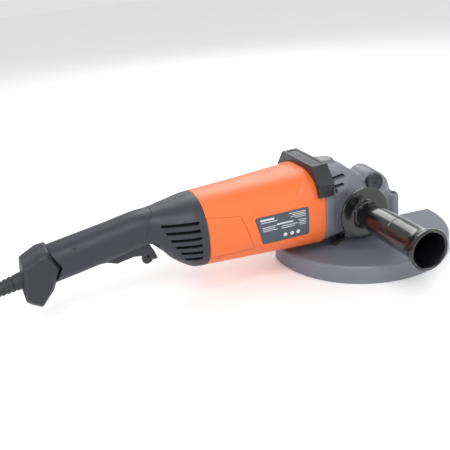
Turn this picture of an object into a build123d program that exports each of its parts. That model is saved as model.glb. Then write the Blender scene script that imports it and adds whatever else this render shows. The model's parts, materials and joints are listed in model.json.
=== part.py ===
from build123d import *
import os
from math import cos, pi, radians, sin, tan

# A large mains angle grinder for 230 mm discs. Millimetres.
# The spindle axis is Z and the disc's seat is the plane Z = 0. X runs forward along the motor axis,
# so the gear case is at the origin and the rear handle and the cord are on the -X side.
# The side handle and the closed half of the guard are on the -Y side.

# Fits
FIT = 0.05  # radial clearance of a shaft in its bearing or bore
GAP = 0.4  # room between neighbours that move past each other
HAIR = 0.1  # room between neighbours that are fixed to each other

# Spindle and disc seat
THREAD_R = 7.0  # M14 spindle thread, as its outside radius
THREAD_DROP = 11.0  # how far the thread reaches below the disc's seat
REGISTER_R = 11.1  # centring boss for a 22.23 mm disc bore
REGISTER_H = 1.8
FLANGE_R = 21.0
FLANGE_H = 6.0
FLANGE_BORE_R = 7.8
SHANK_R = 8.5
TOP_SHANK_R = 6.0

# Guard
GUARD_R = 121.0
GUARD_DEPTH = 25.3
GUARD_SHEET = 2.0
RIM_DROP = 14.0  # the guard's rim below the disc's seat
GUARD_CHORD = 12.0  # the open edge's distance past the spindle axis
GUARD_TURN = -5.5  # degrees that the guard is turned about the spindle
GUARD_TAB_R = 44.0
NECK_R = 31.0
COLLAR_WALL = 3.8
COLLAR_H = 7.4
CLAMP_BEARING = 208.0  # direction of the guard's clamp about the spindle, degrees
CLAMP_REACH = 43.0
LEVER_L = 20.0
LEVER_T = 3.4

# Motor line and housing
MOTOR_Z = 69.0
FRONT_X = -81.0  # joint between motor housing and gear case
REAR_X = -236.0  # joint between motor housing and rear handle
FRONT_HALF_Y = 53.7
FRONT_HALF_Z = 52.5
REAR_HALF_Y = 47.3
REAR_HALF_Z = 46.5
FRONT_ROUND = 0.71  # corner radius as a share of the half height
REAR_ROUND = 0.86
HOUSING_WALL = 3.5
LABEL_T = 0.8
COVER_T = 2.0

# Gear case and bearing plate
CASE_WALL = 5.0
CASE_MID_X = -38.0
CASE_MID_HALF_Y = 50.0
CASE_MID_TOP = 117.0
CASE_BOTTOM = 25.0
NOSE_R = 42.0
DOME_TOP = 91.0
PLATE_T = 5.0
PLATE_R = 44.0
NECK_BOTTOM = 8.0
CHAMBER_R = 40.0
CHAMBER_L = 15.0
LUG_R = 8.0
LUG_CIRCLE = 47.0
LUG_TOP = 66.0
CASE_SCREW_R = 2.4
SCREW_Y = 37.0
SCREW_DZ = 36.0

# Handle sockets, M14 holes as their tapped radius
SOCKET_R = 6.0
SOCKET_DEPTH = 13.0
SOCKET_BOSS_R = 14.0
SIDE_SOCKET_X = -36.0
SIDE_SOCKET_Z = 64.3
SIDE_SOCKET_Y = 54.0
TOP_SOCKET_X = -52.0
TOP_SOCKET_Z = 122.0
TOP_BOSS_R = 12.0

# Gears: straight bevel pair at a right angle, both cones meeting on the spindle axis
PINION_TEETH = 12
CROWN_TEETH = 36
PINION_R = 10.0
FACE_W = 10.0
TOOTH_UP = 1.3
TOOTH_DOWN = 1.7
TOOTH_HALF = 1.0  # half tooth thickness on the pitch line
TIP_HALF = 0.6
CROWN_BASE = 9.0  # blank's thickness under the pitch line

# Motor
SHAFT_R = 6.0
PINION_BORE_R = 4.8
SHAFT_FRONT_X = -18.0
SHAFT_REAR_X = -233.0
ARMATURE_R = 25.5
AIR_GAP = 0.7
STATOR_R = 41.0
STACK_X = -187.0
STACK_L = 74.0
COIL_L = 10.0
COMMUTATOR_R = 15.0
COMMUTATOR_X = -222.0
COMMUTATOR_L = 24.0
FAN_X = -98.0
FAN_L = 13.0
FAN_R = 39.0
FAN_BLADES = 13
FRONT_BEARING_R = 16.0
FRONT_BEARING_X = -64.0
FRONT_BEARING_L = 11.0
REAR_BEARING_R = 13.0
REAR_BEARING_X = -232.0
REAR_BEARING_L = 8.0
LOWER_BEARING_R = 17.0
LOWER_BEARING_Z = 11.0
LOWER_BEARING_H = 12.0
UPPER_BEARING_R = 11.0
UPPER_BEARING_Z = 65.0
UPPER_BEARING_H = 8.0
SPINDLE_TOP = 85.0
HANGER_R = 15.0

# Carbon brushes
BRUSH_X = 8.0
BRUSH_Z = 12.0
BRUSH_L = 15.0
HOLDER_WALL = 2.5
HOLDER_L = 19.0

# Bumper over the joint of housing and gear case
BUMPER_REAR_X = -91.5
BUMPER_FRONT_X = -70.0
BUMPER_TOP = 129.0
BUMPER_TOP_HALF = 40.0
BUMPER_SIDE_HALF = 56.5
BUMPER_SHOULDER_Z = 108.0
BUMPER_FOOT_Z = 92.0

# Rear handle: each station is x, half width, half height and centre height of the outside
HANDLE_STATIONS = (
    (REAR_X, REAR_HALF_Y, REAR_HALF_Z, MOTOR_Z - 1.0),
    (-250.0, 45.5, 45.2, 68.0),
    (-262.5, 41.5, 40.5, 71.3),
    (-275.0, 36.0, 35.3, 75.2),
    (-288.5, 28.5, 27.6, 81.0),
    (-301.0, 23.0, 21.8, 86.0),
    (-348.0, 22.6, 22.1, 79.1),
    (-406.0, 22.4, 22.2, 70.2),
    (-424.0, 22.4, 22.2, 67.5),
)
HANDLE_ROUND = 0.84
HANDLE_WALL = 3.0
VENT_FRONT_X = -245.0
VENT_REARS = ((-293.0, 92.0), (-289.0, 83.0), (-284.5, 73.5), (-280.0, 64.5), (-275.0, 55.5), (-270.5, 46.5))
VENT_H = 4.0
HANDLE_SCREW_R = 2.4
HANDLE_HEAD_R = 4.4
HANDLE_SCREWS = ((-253.6, 100.3), (-255.4, 38.3), (-389.5, 84.0))

# Tail cap: outline in the XZ plane, its foot being the lowest corner
TAIL_TOP = (-419.0, 90.5)
TAIL_POINT = (-407.5, 69.0)
TAIL_HEEL = (-421.4, 41.0)
TAIL_FOOT = (-437.5, 23.6)
TAIL_BACK = ((-449.0, 30.5), (-454.0, 35.0), (-455.0, 45.5), (-450.5, 79.2), (-430.5, 89.3))
TAIL_HALF_Y = 22.0
TAIL_CHAMFER = 5.0

# Trigger, lock-off lever and switch
TRIGGER_PIVOT = (-384.0, 60.5)
TRIGGER_HALF_Y = 9.0
TRIGGER_PIN_R = 2.5
TRIGGER_SWING = 4.5  # degrees
LOCK_PIVOT = (-303.9, 50.2)
LOCK_PIN_R = 1.5
LOCK_HALF_Y = 3.5
SWITCH_X = (-352.0, -312.0)
SWITCH_Z = (75.5, 93.0)
SWITCH_HALF_Y = 10.0
PLUNGER_X = -330.0
PLUNGER_R = 3.0
PLUNGER_TRAVEL = 4.3

# Spindle lock
LOCK_BUTTON_R = 12.3
LOCK_BUTTON_Z = 88.0
LOCK_BUTTON_Y = -41.0
LOCK_BOSS_R = 15.5
LOCK_BOSS_Y = -35.0
LOCK_PIN_Z = 80.0
SPINDLE_PIN_R = 3.0
LOCK_TRAVEL = 5.0
BUTTON_SINK = 2.0  # depth of the button's rear face behind the boss's face at rest

# Side handle, along -Y from its socket
STUD_R = 5.94
SHIELD_R = 34.0
SHIELD_Y = (-66.0, -72.3)
HANDLE_ROOT_R = 15.0
HANDLE_MID_R = 18.0
SLEEVE_Y = -140.0
SLEEVE_R = 18.6
FLARE_R = 25.0
SIDE_END_Y = -199.0
CUP_R = 20.5
CUP_FLOOR_R = 11.0
CUP_DEPTH = 42.0

# Cord: exit from the tail cap, sleeve, free stretch, coil and plug
CORD_R = 4.7
CORD_EXIT = (-453.5, 0.0, 56.4)
CORD_SLOPE = -10.6  # degrees below the horizontal where the cord leaves
SLEEVE_ROOT_R = 10.2
SLEEVE_TIP_R = 6.6
SLEEVE_L = 62.0
SLEEVE_SEAT = 14.0  # length of the sleeve inside the tail cap
FLOOR_Z = -RIM_DROP
COIL_CENTRE = (-620.0, 108.0)
COIL_MEAN_R = 54.0
COIL_WIDE = 3
COIL_HIGH = 4
COIL_ENTRY_L = 36.0  # straight end of the outer turn where the cord runs into the coil
COIL_LEAVE_L = 60.0  # straight end of the cord between the coil and the plug
COIL_JOIN = 20.0  # where the straight ends merge with the ring, from its middle
COIL_LIFT = 0.3  # the ring's underside above the floor
# Corners of the free stretch after the sleeve's tip: down to the floor, then round to the coil's side
CORD_CORNERS = (
    (-543.0, 0.0, 39.6),
    (-571.0, 0.8, 24.5),
    (-602.0, 0.2, 6.5),
    (-634.2, 0.9, -6.0),
    (-656.7, 10.0, -9.3),
    (-674.0, 27.3, -9.3),
    (-683.3, 49.8, -9.3),
)
PLUG_R = 17.0
PLUG_L = 34.0
PIN_R = 2.4
PIN_L = 19.0
PIN_SPACING = 19.0

MOTOR_AXIS = (1.0, 0.0, 0.0)
UP = (0.0, 0.0, 1.0)


def rod(start, direction, length, radius, mode=Mode.ADD):
    """Add or cut a straight round bar in the open part, from start along direction."""
    with Locations(Plane(origin=start, z_dir=direction)):
        Cylinder(radius, length, align=(Align.CENTER, Align.CENTER, Align.MIN), mode=mode)


def tube(start, direction, length, outer, inner):
    """Add a plain ring or tube in the open part."""
    rod(start, direction, length, outer)
    rod(start, direction, length, inner, mode=Mode.SUBTRACT)


def block(low, high, mode=Mode.ADD):
    """Add or cut a square block between two opposite corners in the open part."""
    with Locations(tuple((a + b) / 2 for a, b in zip(low, high))):
        Box(*(abs(b - a) for a, b in zip(low, high)), mode=mode)


def between(a, b, share):
    """The value that lies a share of the way from a to b."""
    return a + (b - a) * share


def housing_half(x, grow=0.0):
    """Half width, half height and corner radius of the motor housing at x."""
    share = (x - REAR_X) / (FRONT_X - REAR_X)
    half_y = between(REAR_HALF_Y, FRONT_HALF_Y, share) + grow
    half_z = between(REAR_HALF_Z, FRONT_HALF_Z, share) + grow
    return half_y, half_z, half_z * between(REAR_ROUND, FRONT_ROUND, share)


def housing_form(grow=0.0):
    """Closed tapered form of the motor housing, its skin moved out by grow."""
    with BuildPart() as form:
        for x in (REAR_X, FRONT_X):
            half_y, half_z, corner = housing_half(x, grow)
            with BuildSketch(Plane.YZ.offset(x)):
                with Locations((0, MOTOR_Z)):
                    RectangleRounded(2 * half_y, 2 * half_z, corner)
        loft()
    return form.part


def handle_form(grow=0.0):
    """Closed form of the rear handle, its skin moved out by grow."""
    with BuildPart() as form:
        for x, half_y, half_z, centre_z in HANDLE_STATIONS:
            with BuildSketch(Plane.YZ.offset(x)):
                with Locations((0, centre_z)):
                    corner = HANDLE_ROUND * (min(half_y, half_z) + grow)
                    RectangleRounded(2 * (half_y + grow), 2 * (half_z + grow), corner)
        loft(ruled=True)
    return form.part


def side_prism(outline, near, far):
    """Prism on an XZ outline between two heights above the plane Y = 0, on the -Y side if near < 0."""
    with BuildPart() as prism:
        with BuildSketch(Plane.XZ.offset(-near)):
            with BuildLine():
                Polyline(*outline, close=True)
            make_face()
        extrude(amount=-(far - near))
    return prism.part


def case_form():
    """Closed outer form of the gear case, without bosses."""
    mid_half_z = (CASE_MID_TOP - CASE_BOTTOM) / 2 + 1.0
    nose_half_z = (DOME_TOP - CASE_BOTTOM) / 2
    half_y, half_z, corner = housing_half(FRONT_X)
    sections = (
        (FRONT_X, half_y, half_z, MOTOR_Z, corner),
        (CASE_MID_X, CASE_MID_HALF_Y, mid_half_z, CASE_MID_TOP - mid_half_z, 0.62 * mid_half_z),
        (0.0, NOSE_R, nose_half_z, DOME_TOP - nose_half_z, 0.55 * nose_half_z),
    )
    with BuildPart() as form:
        for x, wide, high, centre_z, radius in sections:
            with BuildSketch(Plane.YZ.offset(x)):
                with Locations((0, centre_z)):
                    RectangleRounded(2 * wide, 2 * high, radius)
        loft(ruled=True)
    return form.part


os.makedirs("parts", exist_ok=True)

housing_outer = housing_form()
housing_inner = housing_form(-HOUSING_WALL)
housing_under_cover = housing_form(-COVER_T)
housing_under_label = housing_form(-LABEL_T)
handle_outer = handle_form()
handle_inner = handle_form(-HANDLE_WALL)
gear_case_form = case_form()

# ---------------------------------------------------------------- panels that sit flush in the motor housing
COVER_OUTLINE = ((-235.0, 42.5), (-179.0, 43.5), (-194.0, 89.5), (-235.0, 95.0))
LABEL_OUTLINE = ((-168.0, 45.5), (-105.2, 46.3), (-105.2, 84.0), (-177.5, 83.0))
cover_prism_right = side_prism(COVER_OUTLINE, -REAR_HALF_Y / 2, -2 * REAR_HALF_Y)
cover_prism_left = side_prism(COVER_OUTLINE, REAR_HALF_Y / 2, 2 * REAR_HALF_Y)
label_prism = side_prism(LABEL_OUTLINE, -REAR_HALF_Y / 2, -2 * FRONT_HALF_Y)
COVER_SCREW = (-229.5, 68.0)
COVER_SCREW_R = 2.0
COVER_SCREW_L = 9.0

with BuildPart() as brush_cover_right:
    add(housing_outer)
    add(cover_prism_right, mode=Mode.INTERSECT)
    add(housing_under_cover, mode=Mode.SUBTRACT)
    rod((COVER_SCREW[0], 0, COVER_SCREW[1]), (0, -1, 0), 2 * REAR_HALF_Y, COVER_SCREW_R + HAIR, Mode.SUBTRACT)
brush_cover_right.part.label = "brush_cover_right"
export_step(brush_cover_right.part, "parts/brush_cover_right.step")

with BuildPart() as brush_cover_left:
    add(housing_outer)
    add(cover_prism_left, mode=Mode.INTERSECT)
    add(housing_under_cover, mode=Mode.SUBTRACT)
    rod((COVER_SCREW[0], 0, COVER_SCREW[1]), (0, 1, 0), 2 * REAR_HALF_Y, COVER_SCREW_R + HAIR, Mode.SUBTRACT)
brush_cover_left.part.label = "brush_cover_left"
export_step(brush_cover_left.part, "parts/brush_cover_left.step")

cover_screw_y = housing_half(COVER_SCREW[0])[0] - 0.4
with BuildPart() as brush_cover_screws:
    for side in (-1, 1):
        start = (COVER_SCREW[0], side * (cover_screw_y - COVER_SCREW_L), COVER_SCREW[1])
        rod(start, (0, side, 0), COVER_SCREW_L, COVER_SCREW_R)
brush_cover_screws.part.label = "brush_cover_screws"
export_step(brush_cover_screws.part, "parts/brush_cover_screws.step")

with BuildPart() as rating_label:
    add(housing_outer)
    add(label_prism, mode=Mode.INTERSECT)
    add(housing_under_label, mode=Mode.SUBTRACT)
rating_label.part.label = "rating_label"
export_step(rating_label.part, "parts/rating_label.step")

# ---------------------------------------------------------------- motor housing
SPOKE = 14.0
SPOKE_T = 6.0
HUB_R = 17.0
RING_L = 5.0
CASE_BOSS_R = 6.0
CASE_BOSS_L = 26.0
CASE_SCREW_L = 30.0
CASE_SCREW_IN = 12.0  # length of each case screw inside the gear case
spoke_x = REAR_BEARING_X + (REAR_BEARING_L - SPOKE_T) / 2
case_screw_places = [(y, MOTOR_Z + dz) for y in (-SCREW_Y, SCREW_Y) for dz in (-SCREW_DZ, SCREW_DZ)]
with BuildPart() as motor_housing:
    add(housing_outer)
    add(housing_inner, mode=Mode.SUBTRACT)
    # Two rings that hold the stator, buried a little in the wall
    for x in (STACK_X, STACK_X + STACK_L - RING_L):
        half_y, half_z, corner = housing_half(x, -HOUSING_WALL / 2)
        with BuildSketch(Plane.YZ.offset(x)):
            with Locations((0, MOTOR_Z)):
                RectangleRounded(2 * half_y, 2 * half_z, corner)
                Circle(STATOR_R, mode=Mode.SUBTRACT)
        extrude(amount=RING_L)
    # Cross of spokes with the hub of the rear bearing
    half_y, half_z, corner = housing_half(spoke_x, -HOUSING_WALL / 2)
    block((spoke_x, -half_y, MOTOR_Z - SPOKE / 2), (spoke_x + SPOKE_T, half_y, MOTOR_Z + SPOKE / 2))
    block((spoke_x, -SPOKE / 2, MOTOR_Z - half_z), (spoke_x + SPOKE_T, SPOKE / 2, MOTOR_Z + half_z))
    rod((REAR_BEARING_X, 0, MOTOR_Z), MOTOR_AXIS, REAR_BEARING_L, HUB_R)
    rod((REAR_BEARING_X, 0, MOTOR_Z), MOTOR_AXIS, REAR_BEARING_L, REAR_BEARING_R, Mode.SUBTRACT)
    # Bosses for the four screws of the gear case
    for y, z in case_screw_places:
        rod((FRONT_X - CASE_BOSS_L, y, z), MOTOR_AXIS, CASE_BOSS_L, CASE_BOSS_R)
    for y, z in case_screw_places:
        rod((FRONT_X - CASE_SCREW_L, y, z), MOTOR_AXIS, CASE_SCREW_L, CASE_SCREW_R, Mode.SUBTRACT)
    # Pockets of the flush panels and the screws of the brush covers
    add(brush_cover_right.part, mode=Mode.SUBTRACT)
    add(brush_cover_left.part, mode=Mode.SUBTRACT)
    add(rating_label.part, mode=Mode.SUBTRACT)
    add(brush_cover_screws.part, mode=Mode.SUBTRACT)
motor_housing.part.label = "motor_housing"
export_step(motor_housing.part, "parts/motor_housing.step")

# ---------------------------------------------------------------- gear case
CROWN_R = PINION_R * CROWN_TEETH / PINION_TEETH
CAVITY_R = CROWN_R + 4.0
PINION_ROOM_R = PINION_R + 5.0
wall_front_x = FRONT_BEARING_X + FRONT_BEARING_L
cavity_top = MOTOR_Z - 3.0
button_rear = LOCK_BOSS_Y + BUTTON_SINK
lug_angles = (45.0, 135.0, 225.0, 315.0)
lug_places = [(LUG_CIRCLE * cos(radians(a)), LUG_CIRCLE * sin(radians(a))) for a in lug_angles]
SLOT_LOW_Z = MOTOR_Z + 29.0
SLOT_STEP = 9.0
SLOT_H = 4.5
SLOT_REAR = 3.0
SLOT_FRONT_X = -52.0
SLOT_SHIFT = 6.0
SLOT_IN_Y = 22.0
SLOT_IN_STEP = 8.0

with BuildPart() as nose:
    rod((0, 0, CASE_BOTTOM), UP, DOME_TOP - CASE_BOTTOM, NOSE_R)
    fillet(nose.edges().filter_by(GeomType.CIRCLE).sort_by(Axis.Z)[-1], radius=NOSE_R / 3)

with BuildPart() as gear_case:
    add(gear_case_form)
    add(nose.part)
    for x, y in lug_places:
        rod((x, y, CASE_BOTTOM), UP, LUG_TOP - CASE_BOTTOM, LUG_R)
    # Bosses of the side and top handle sockets and of the spindle lock
    for side in (-1, 1):
        rod((SIDE_SOCKET_X, 0, SIDE_SOCKET_Z), (0, side, 0), SIDE_SOCKET_Y, SOCKET_BOSS_R)
    rod((TOP_SOCKET_X, 0, MOTOR_Z), UP, TOP_SOCKET_Z - MOTOR_Z, TOP_BOSS_R)
    rod((0, 0, LOCK_BUTTON_Z), (0, -1, 0), -LOCK_BOSS_Y, LOCK_BOSS_R)
    # Everything below the bearing plate's seat is cut away around the neck
    rod((0, 0, CASE_BOTTOM - 3 * PLATE_T), UP, 3 * PLATE_T, LUG_CIRCLE + LUG_R + GAP, Mode.SUBTRACT)
    # Fan chamber, bearing bore, gear room and pinion room
    rod((FRONT_X, 0, MOTOR_Z), MOTOR_AXIS, CHAMBER_L, CHAMBER_R, Mode.SUBTRACT)
    rod((FRONT_X, 0, MOTOR_Z), MOTOR_AXIS, wall_front_x - FRONT_X, FRONT_BEARING_R, Mode.SUBTRACT)
    rod((wall_front_x, 0, MOTOR_Z), MOTOR_AXIS, CASE_WALL, SHAFT_R + 2 * GAP, Mode.SUBTRACT)
    rod((0, 0, CASE_BOTTOM), UP, cavity_top - CASE_BOTTOM, CAVITY_R, Mode.SUBTRACT)
    rod(
        (wall_front_x + CASE_WALL, 0, MOTOR_Z),
        MOTOR_AXIS,
        -HANGER_R - GAP - wall_front_x - CASE_WALL,
        PINION_ROOM_R,
        Mode.SUBTRACT,
    )
    # Hanging seat of the upper spindle bearing
    rod((0, 0, UPPER_BEARING_Z), UP, DOME_TOP - UPPER_BEARING_Z - CASE_WALL, HANGER_R)
    rod((0, 0, UPPER_BEARING_Z), UP, UPPER_BEARING_H, UPPER_BEARING_R, Mode.SUBTRACT)
    rod((0, 0, UPPER_BEARING_Z), UP, SPINDLE_TOP + 1 - UPPER_BEARING_Z, TOP_SHANK_R + GAP, Mode.SUBTRACT)
    # Guide of the lock pin and the well of the lock button
    rod((0, 0, LOCK_PIN_Z), (0, -1, 0), -LOCK_BOSS_Y, SPINDLE_PIN_R + FIT, Mode.SUBTRACT)
    well_start = (0, button_rear + LOCK_TRAVEL, LOCK_BUTTON_Z)
    rod(well_start, (0, -1, 0), NOSE_R, LOCK_BUTTON_R + FIT, Mode.SUBTRACT)
    # Tapped sockets
    for side in (-1, 1):
        start = (SIDE_SOCKET_X, side * (SIDE_SOCKET_Y - SOCKET_DEPTH), SIDE_SOCKET_Z)
        rod(start, (0, side, 0), SOCKET_DEPTH, SOCKET_R, Mode.SUBTRACT)
    rod((TOP_SOCKET_X, 0, TOP_SOCKET_Z - SOCKET_DEPTH), UP, SOCKET_DEPTH, SOCKET_R, Mode.SUBTRACT)
    # Screw holes towards the motor housing and in the lugs
    for y, z in case_screw_places:
        rod((FRONT_X, y, z), MOTOR_AXIS, CASE_SCREW_IN, CASE_SCREW_R, Mode.SUBTRACT)
    for x, y in lug_places:
        rod((x, y, CASE_BOTTOM), UP, 3 * PLATE_T, CASE_SCREW_R, Mode.SUBTRACT)
    # Two exhaust slots on each side, open to the fan chamber
    for side in (-1, 1):
        for step in (0, 1):
            low_z = SLOT_LOW_Z + step * SLOT_STEP
            inner_y = side * (SLOT_IN_Y - SLOT_IN_STEP * step)
            outer_y = side * (FRONT_HALF_Y + CASE_WALL)
            block(
                (FRONT_X + SLOT_REAR, inner_y, low_z),
                (SLOT_FRONT_X + SLOT_SHIFT * step, outer_y, low_z + SLOT_H),
                Mode.SUBTRACT,
            )
gear_case.part.label = "gear_case"
export_step(gear_case.part, "parts/gear_case.step")

with BuildPart() as bearing_plate:
    rod((0, 0, CASE_BOTTOM - PLATE_T), UP, PLATE_T, PLATE_R)
    for x, y in lug_places:
        rod((x, y, CASE_BOTTOM - PLATE_T), UP, PLATE_T, LUG_R)
    rod((0, 0, NECK_BOTTOM), UP, CASE_BOTTOM - NECK_BOTTOM, NECK_R)
    rod((0, 0, NECK_BOTTOM), UP, LOWER_BEARING_Z - NECK_BOTTOM, SHANK_R + 4 * GAP, Mode.SUBTRACT)
    rod((0, 0, LOWER_BEARING_Z), UP, CASE_BOTTOM - LOWER_BEARING_Z, LOWER_BEARING_R, Mode.SUBTRACT)
    for x, y in lug_places:
        rod((x, y, CASE_BOTTOM - PLATE_T), UP, PLATE_T, CASE_SCREW_R, Mode.SUBTRACT)
bearing_plate.part.label = "bearing_plate"
export_step(bearing_plate.part, "parts/bearing_plate.step")

HEAD_R = 4.2
HEAD_H = 2.2
with BuildPart() as bearing_plate_screws:
    for x, y in lug_places:
        rod((x, y, CASE_BOTTOM - PLATE_T - HEAD_H), UP, HEAD_H, HEAD_R)
        rod((x, y, CASE_BOTTOM - PLATE_T), UP, 3 * PLATE_T, CASE_SCREW_R)
bearing_plate_screws.part.label = "bearing_plate_screws"
export_step(bearing_plate_screws.part, "parts/bearing_plate_screws.step")

with BuildPart() as gear_case_screws:
    for y, z in case_screw_places:
        rod((FRONT_X - CASE_BOSS_L, y, z), MOTOR_AXIS, CASE_BOSS_L + CASE_SCREW_IN, CASE_SCREW_R)
gear_case_screws.part.label = "gear_case_screws"
export_step(gear_case_screws.part, "parts/gear_case_screws.step")

# ---------------------------------------------------------------- bumper
bumper_half_y, bumper_half_z, bumper_corner = housing_half(FRONT_X, HAIR)
with BuildPart() as bumper:
    with BuildSketch(Plane.YZ.offset(BUMPER_REAR_X)):
        with BuildLine():
            Polyline(
                (-BUMPER_TOP_HALF, BUMPER_TOP),
                (BUMPER_TOP_HALF, BUMPER_TOP),
                (BUMPER_SIDE_HALF, BUMPER_SHOULDER_Z),
                (BUMPER_SIDE_HALF, BUMPER_FOOT_Z),
                (-BUMPER_SIDE_HALF, BUMPER_FOOT_Z),
                (-BUMPER_SIDE_HALF, BUMPER_SHOULDER_Z),
                close=True,
            )
        make_face()
        with Locations((0, MOTOR_Z)):
            RectangleRounded(2 * bumper_half_y, 2 * bumper_half_z, bumper_corner, mode=Mode.SUBTRACT)
    extrude(amount=BUMPER_FRONT_X - BUMPER_REAR_X)
bumper.part.label = "bumper"
export_step(bumper.part, "parts/bumper.step")

# ---------------------------------------------------------------- motor parts
POLE_DEPTH = 4.0
POLE_GAP = 18.0
YOKE = 5.0
with BuildPart() as stator_core:
    tube((STACK_X, 0, MOTOR_Z), MOTOR_AXIS, STACK_L, STATOR_R, ARMATURE_R + AIR_GAP)
    # Room for the two field coils between the poles
    for side in (-1, 1):
        block(
            (STACK_X, side * (ARMATURE_R + AIR_GAP - POLE_DEPTH), MOTOR_Z - POLE_GAP / 2),
            (STACK_X + STACK_L, side * (STATOR_R - YOKE), MOTOR_Z + POLE_GAP / 2),
            Mode.SUBTRACT,
        )
stator_core.part.label = "stator_core"
export_step(stator_core.part, "parts/stator_core.step")

WINDING_OUT = STATOR_R - 2.0
WINDING_IN = ARMATURE_R + 2.0
with BuildPart() as stator_windings:
    for x in (STACK_X - COIL_L, STACK_X + STACK_L):
        tube((x, 0, MOTOR_Z), MOTOR_AXIS, COIL_L, WINDING_OUT, WINDING_IN)
stator_windings.part.label = "stator_windings"
export_step(stator_windings.part, "parts/stator_windings.step")

BAFFLE_X = STACK_X + STACK_L + COIL_L + 1.5
BAFFLE_T = 2.0
BAFFLE_ROOM = 6.0
BAFFLE_IN_R = 24.0
baffle_r = housing_half(BAFFLE_X)[1] - HOUSING_WALL - HAIR - BAFFLE_ROOM
with BuildPart() as air_baffle:
    tube((BAFFLE_X, 0, MOTOR_Z), MOTOR_AXIS, BAFFLE_T, baffle_r, BAFFLE_IN_R)
air_baffle.part.label = "air_baffle"
export_step(air_baffle.part, "parts/air_baffle.step")

with BuildPart() as motor_shaft:
    rod((SHAFT_REAR_X, 0, MOTOR_Z), MOTOR_AXIS, SHAFT_FRONT_X - SHAFT_REAR_X, PINION_BORE_R)
    rod((SHAFT_REAR_X, 0, MOTOR_Z), MOTOR_AXIS, -CROWN_R - SHAFT_REAR_X, SHAFT_R)
motor_shaft.part.label = "motor_shaft"
export_step(motor_shaft.part, "parts/motor_shaft.step")

ARMATURE_SLOTS = 12
SLOT_W = 2.6
SLOT_D = 7.0
with BuildPart() as armature_core:
    with BuildSketch(Plane.YZ.offset(STACK_X + 2)):
        with Locations((0, MOTOR_Z)):
            Circle(ARMATURE_R)
            Circle(SHAFT_R, mode=Mode.SUBTRACT)
            with PolarLocations(ARMATURE_R - SLOT_D / 2, ARMATURE_SLOTS):
                Rectangle(SLOT_D + 1, SLOT_W, mode=Mode.SUBTRACT)
    extrude(amount=STACK_L - 4)
armature_core.part.label = "armature_core"
export_step(armature_core.part, "parts/armature_core.step")

END_WINDING_R = ARMATURE_R - 3.5
with BuildPart() as armature_windings:
    for x in (STACK_X - COIL_L + 3, STACK_X + STACK_L - 2):
        tube((x, 0, MOTOR_Z), MOTOR_AXIS, COIL_L - 1, END_WINDING_R, SHAFT_R)
armature_windings.part.label = "armature_windings"
export_step(armature_windings.part, "parts/armature_windings.step")

with BuildPart() as commutator:
    with BuildSketch(Plane.YZ.offset(COMMUTATOR_X)):
        with Locations((0, MOTOR_Z)):
            Circle(COMMUTATOR_R)
            Circle(SHAFT_R, mode=Mode.SUBTRACT)
            with PolarLocations(COMMUTATOR_R, 2 * ARMATURE_SLOTS):
                Rectangle(1.6, 0.6, mode=Mode.SUBTRACT)
    extrude(amount=COMMUTATOR_L)
commutator.part.label = "commutator"
export_step(commutator.part, "parts/commutator.step")

FAN_HUB_R = 11.0
FAN_DISC_T = 2.0
with BuildPart() as cooling_fan:
    tube((FAN_X, 0, MOTOR_Z), MOTOR_AXIS, FAN_L, FAN_HUB_R, SHAFT_R)
    tube((FAN_X + FAN_L - FAN_DISC_T, 0, MOTOR_Z), MOTOR_AXIS, FAN_DISC_T, FAN_R, SHAFT_R)
    with BuildSketch(Plane.YZ.offset(FAN_X)):
        with Locations((0, MOTOR_Z)):
            with PolarLocations((FAN_HUB_R + FAN_R) / 2 - 0.5, FAN_BLADES):
                Rectangle(FAN_R - FAN_HUB_R, 1.8)
    extrude(amount=FAN_L)
cooling_fan.part.label = "cooling_fan"
export_step(cooling_fan.part, "parts/cooling_fan.step")

with BuildPart() as front_bearing:
    tube((FRONT_BEARING_X, 0, MOTOR_Z), MOTOR_AXIS, FRONT_BEARING_L, FRONT_BEARING_R, SHAFT_R + FIT)
front_bearing.part.label = "front_bearing"
export_step(front_bearing.part, "parts/front_bearing.step")

with BuildPart() as rear_bearing:
    tube((REAR_BEARING_X, 0, MOTOR_Z), MOTOR_AXIS, REAR_BEARING_L, REAR_BEARING_R, SHAFT_R + FIT)
rear_bearing.part.label = "rear_bearing"
export_step(rear_bearing.part, "parts/rear_bearing.step")

# ---------------------------------------------------------------- carbon brushes, their holders and springs
brush_x = COMMUTATOR_X + COMMUTATOR_L / 2
brush_start = COMMUTATOR_R + GAP
holder_start = brush_start + 2.0
with BuildPart() as brush_holders:
    for side in (-1, 1):
        wall_x = BRUSH_X / 2 + HOLDER_WALL
        wall_z = BRUSH_Z / 2 + HOLDER_WALL
        block(
            (brush_x - wall_x, side * holder_start, MOTOR_Z - wall_z),
            (brush_x + wall_x, side * (holder_start + HOLDER_L), MOTOR_Z + wall_z),
        )
        block(
            (brush_x - BRUSH_X / 2 - HAIR, side * holder_start, MOTOR_Z - BRUSH_Z / 2 - HAIR),
            (brush_x + BRUSH_X / 2 + HAIR, side * (holder_start + HOLDER_L), MOTOR_Z + BRUSH_Z / 2 + HAIR),
            Mode.SUBTRACT,
        )
brush_holders.part.label = "brush_holders"
export_step(brush_holders.part, "parts/brush_holders.step")

with BuildPart() as carbon_brushes:
    for side in (-1, 1):
        block(
            (brush_x - BRUSH_X / 2, side * brush_start, MOTOR_Z - BRUSH_Z / 2),
            (brush_x + BRUSH_X / 2, side * (brush_start + BRUSH_L), MOTOR_Z + BRUSH_Z / 2),
        )
carbon_brushes.part.label = "carbon_brushes"
export_step(carbon_brushes.part, "parts/carbon_brushes.step")

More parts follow.
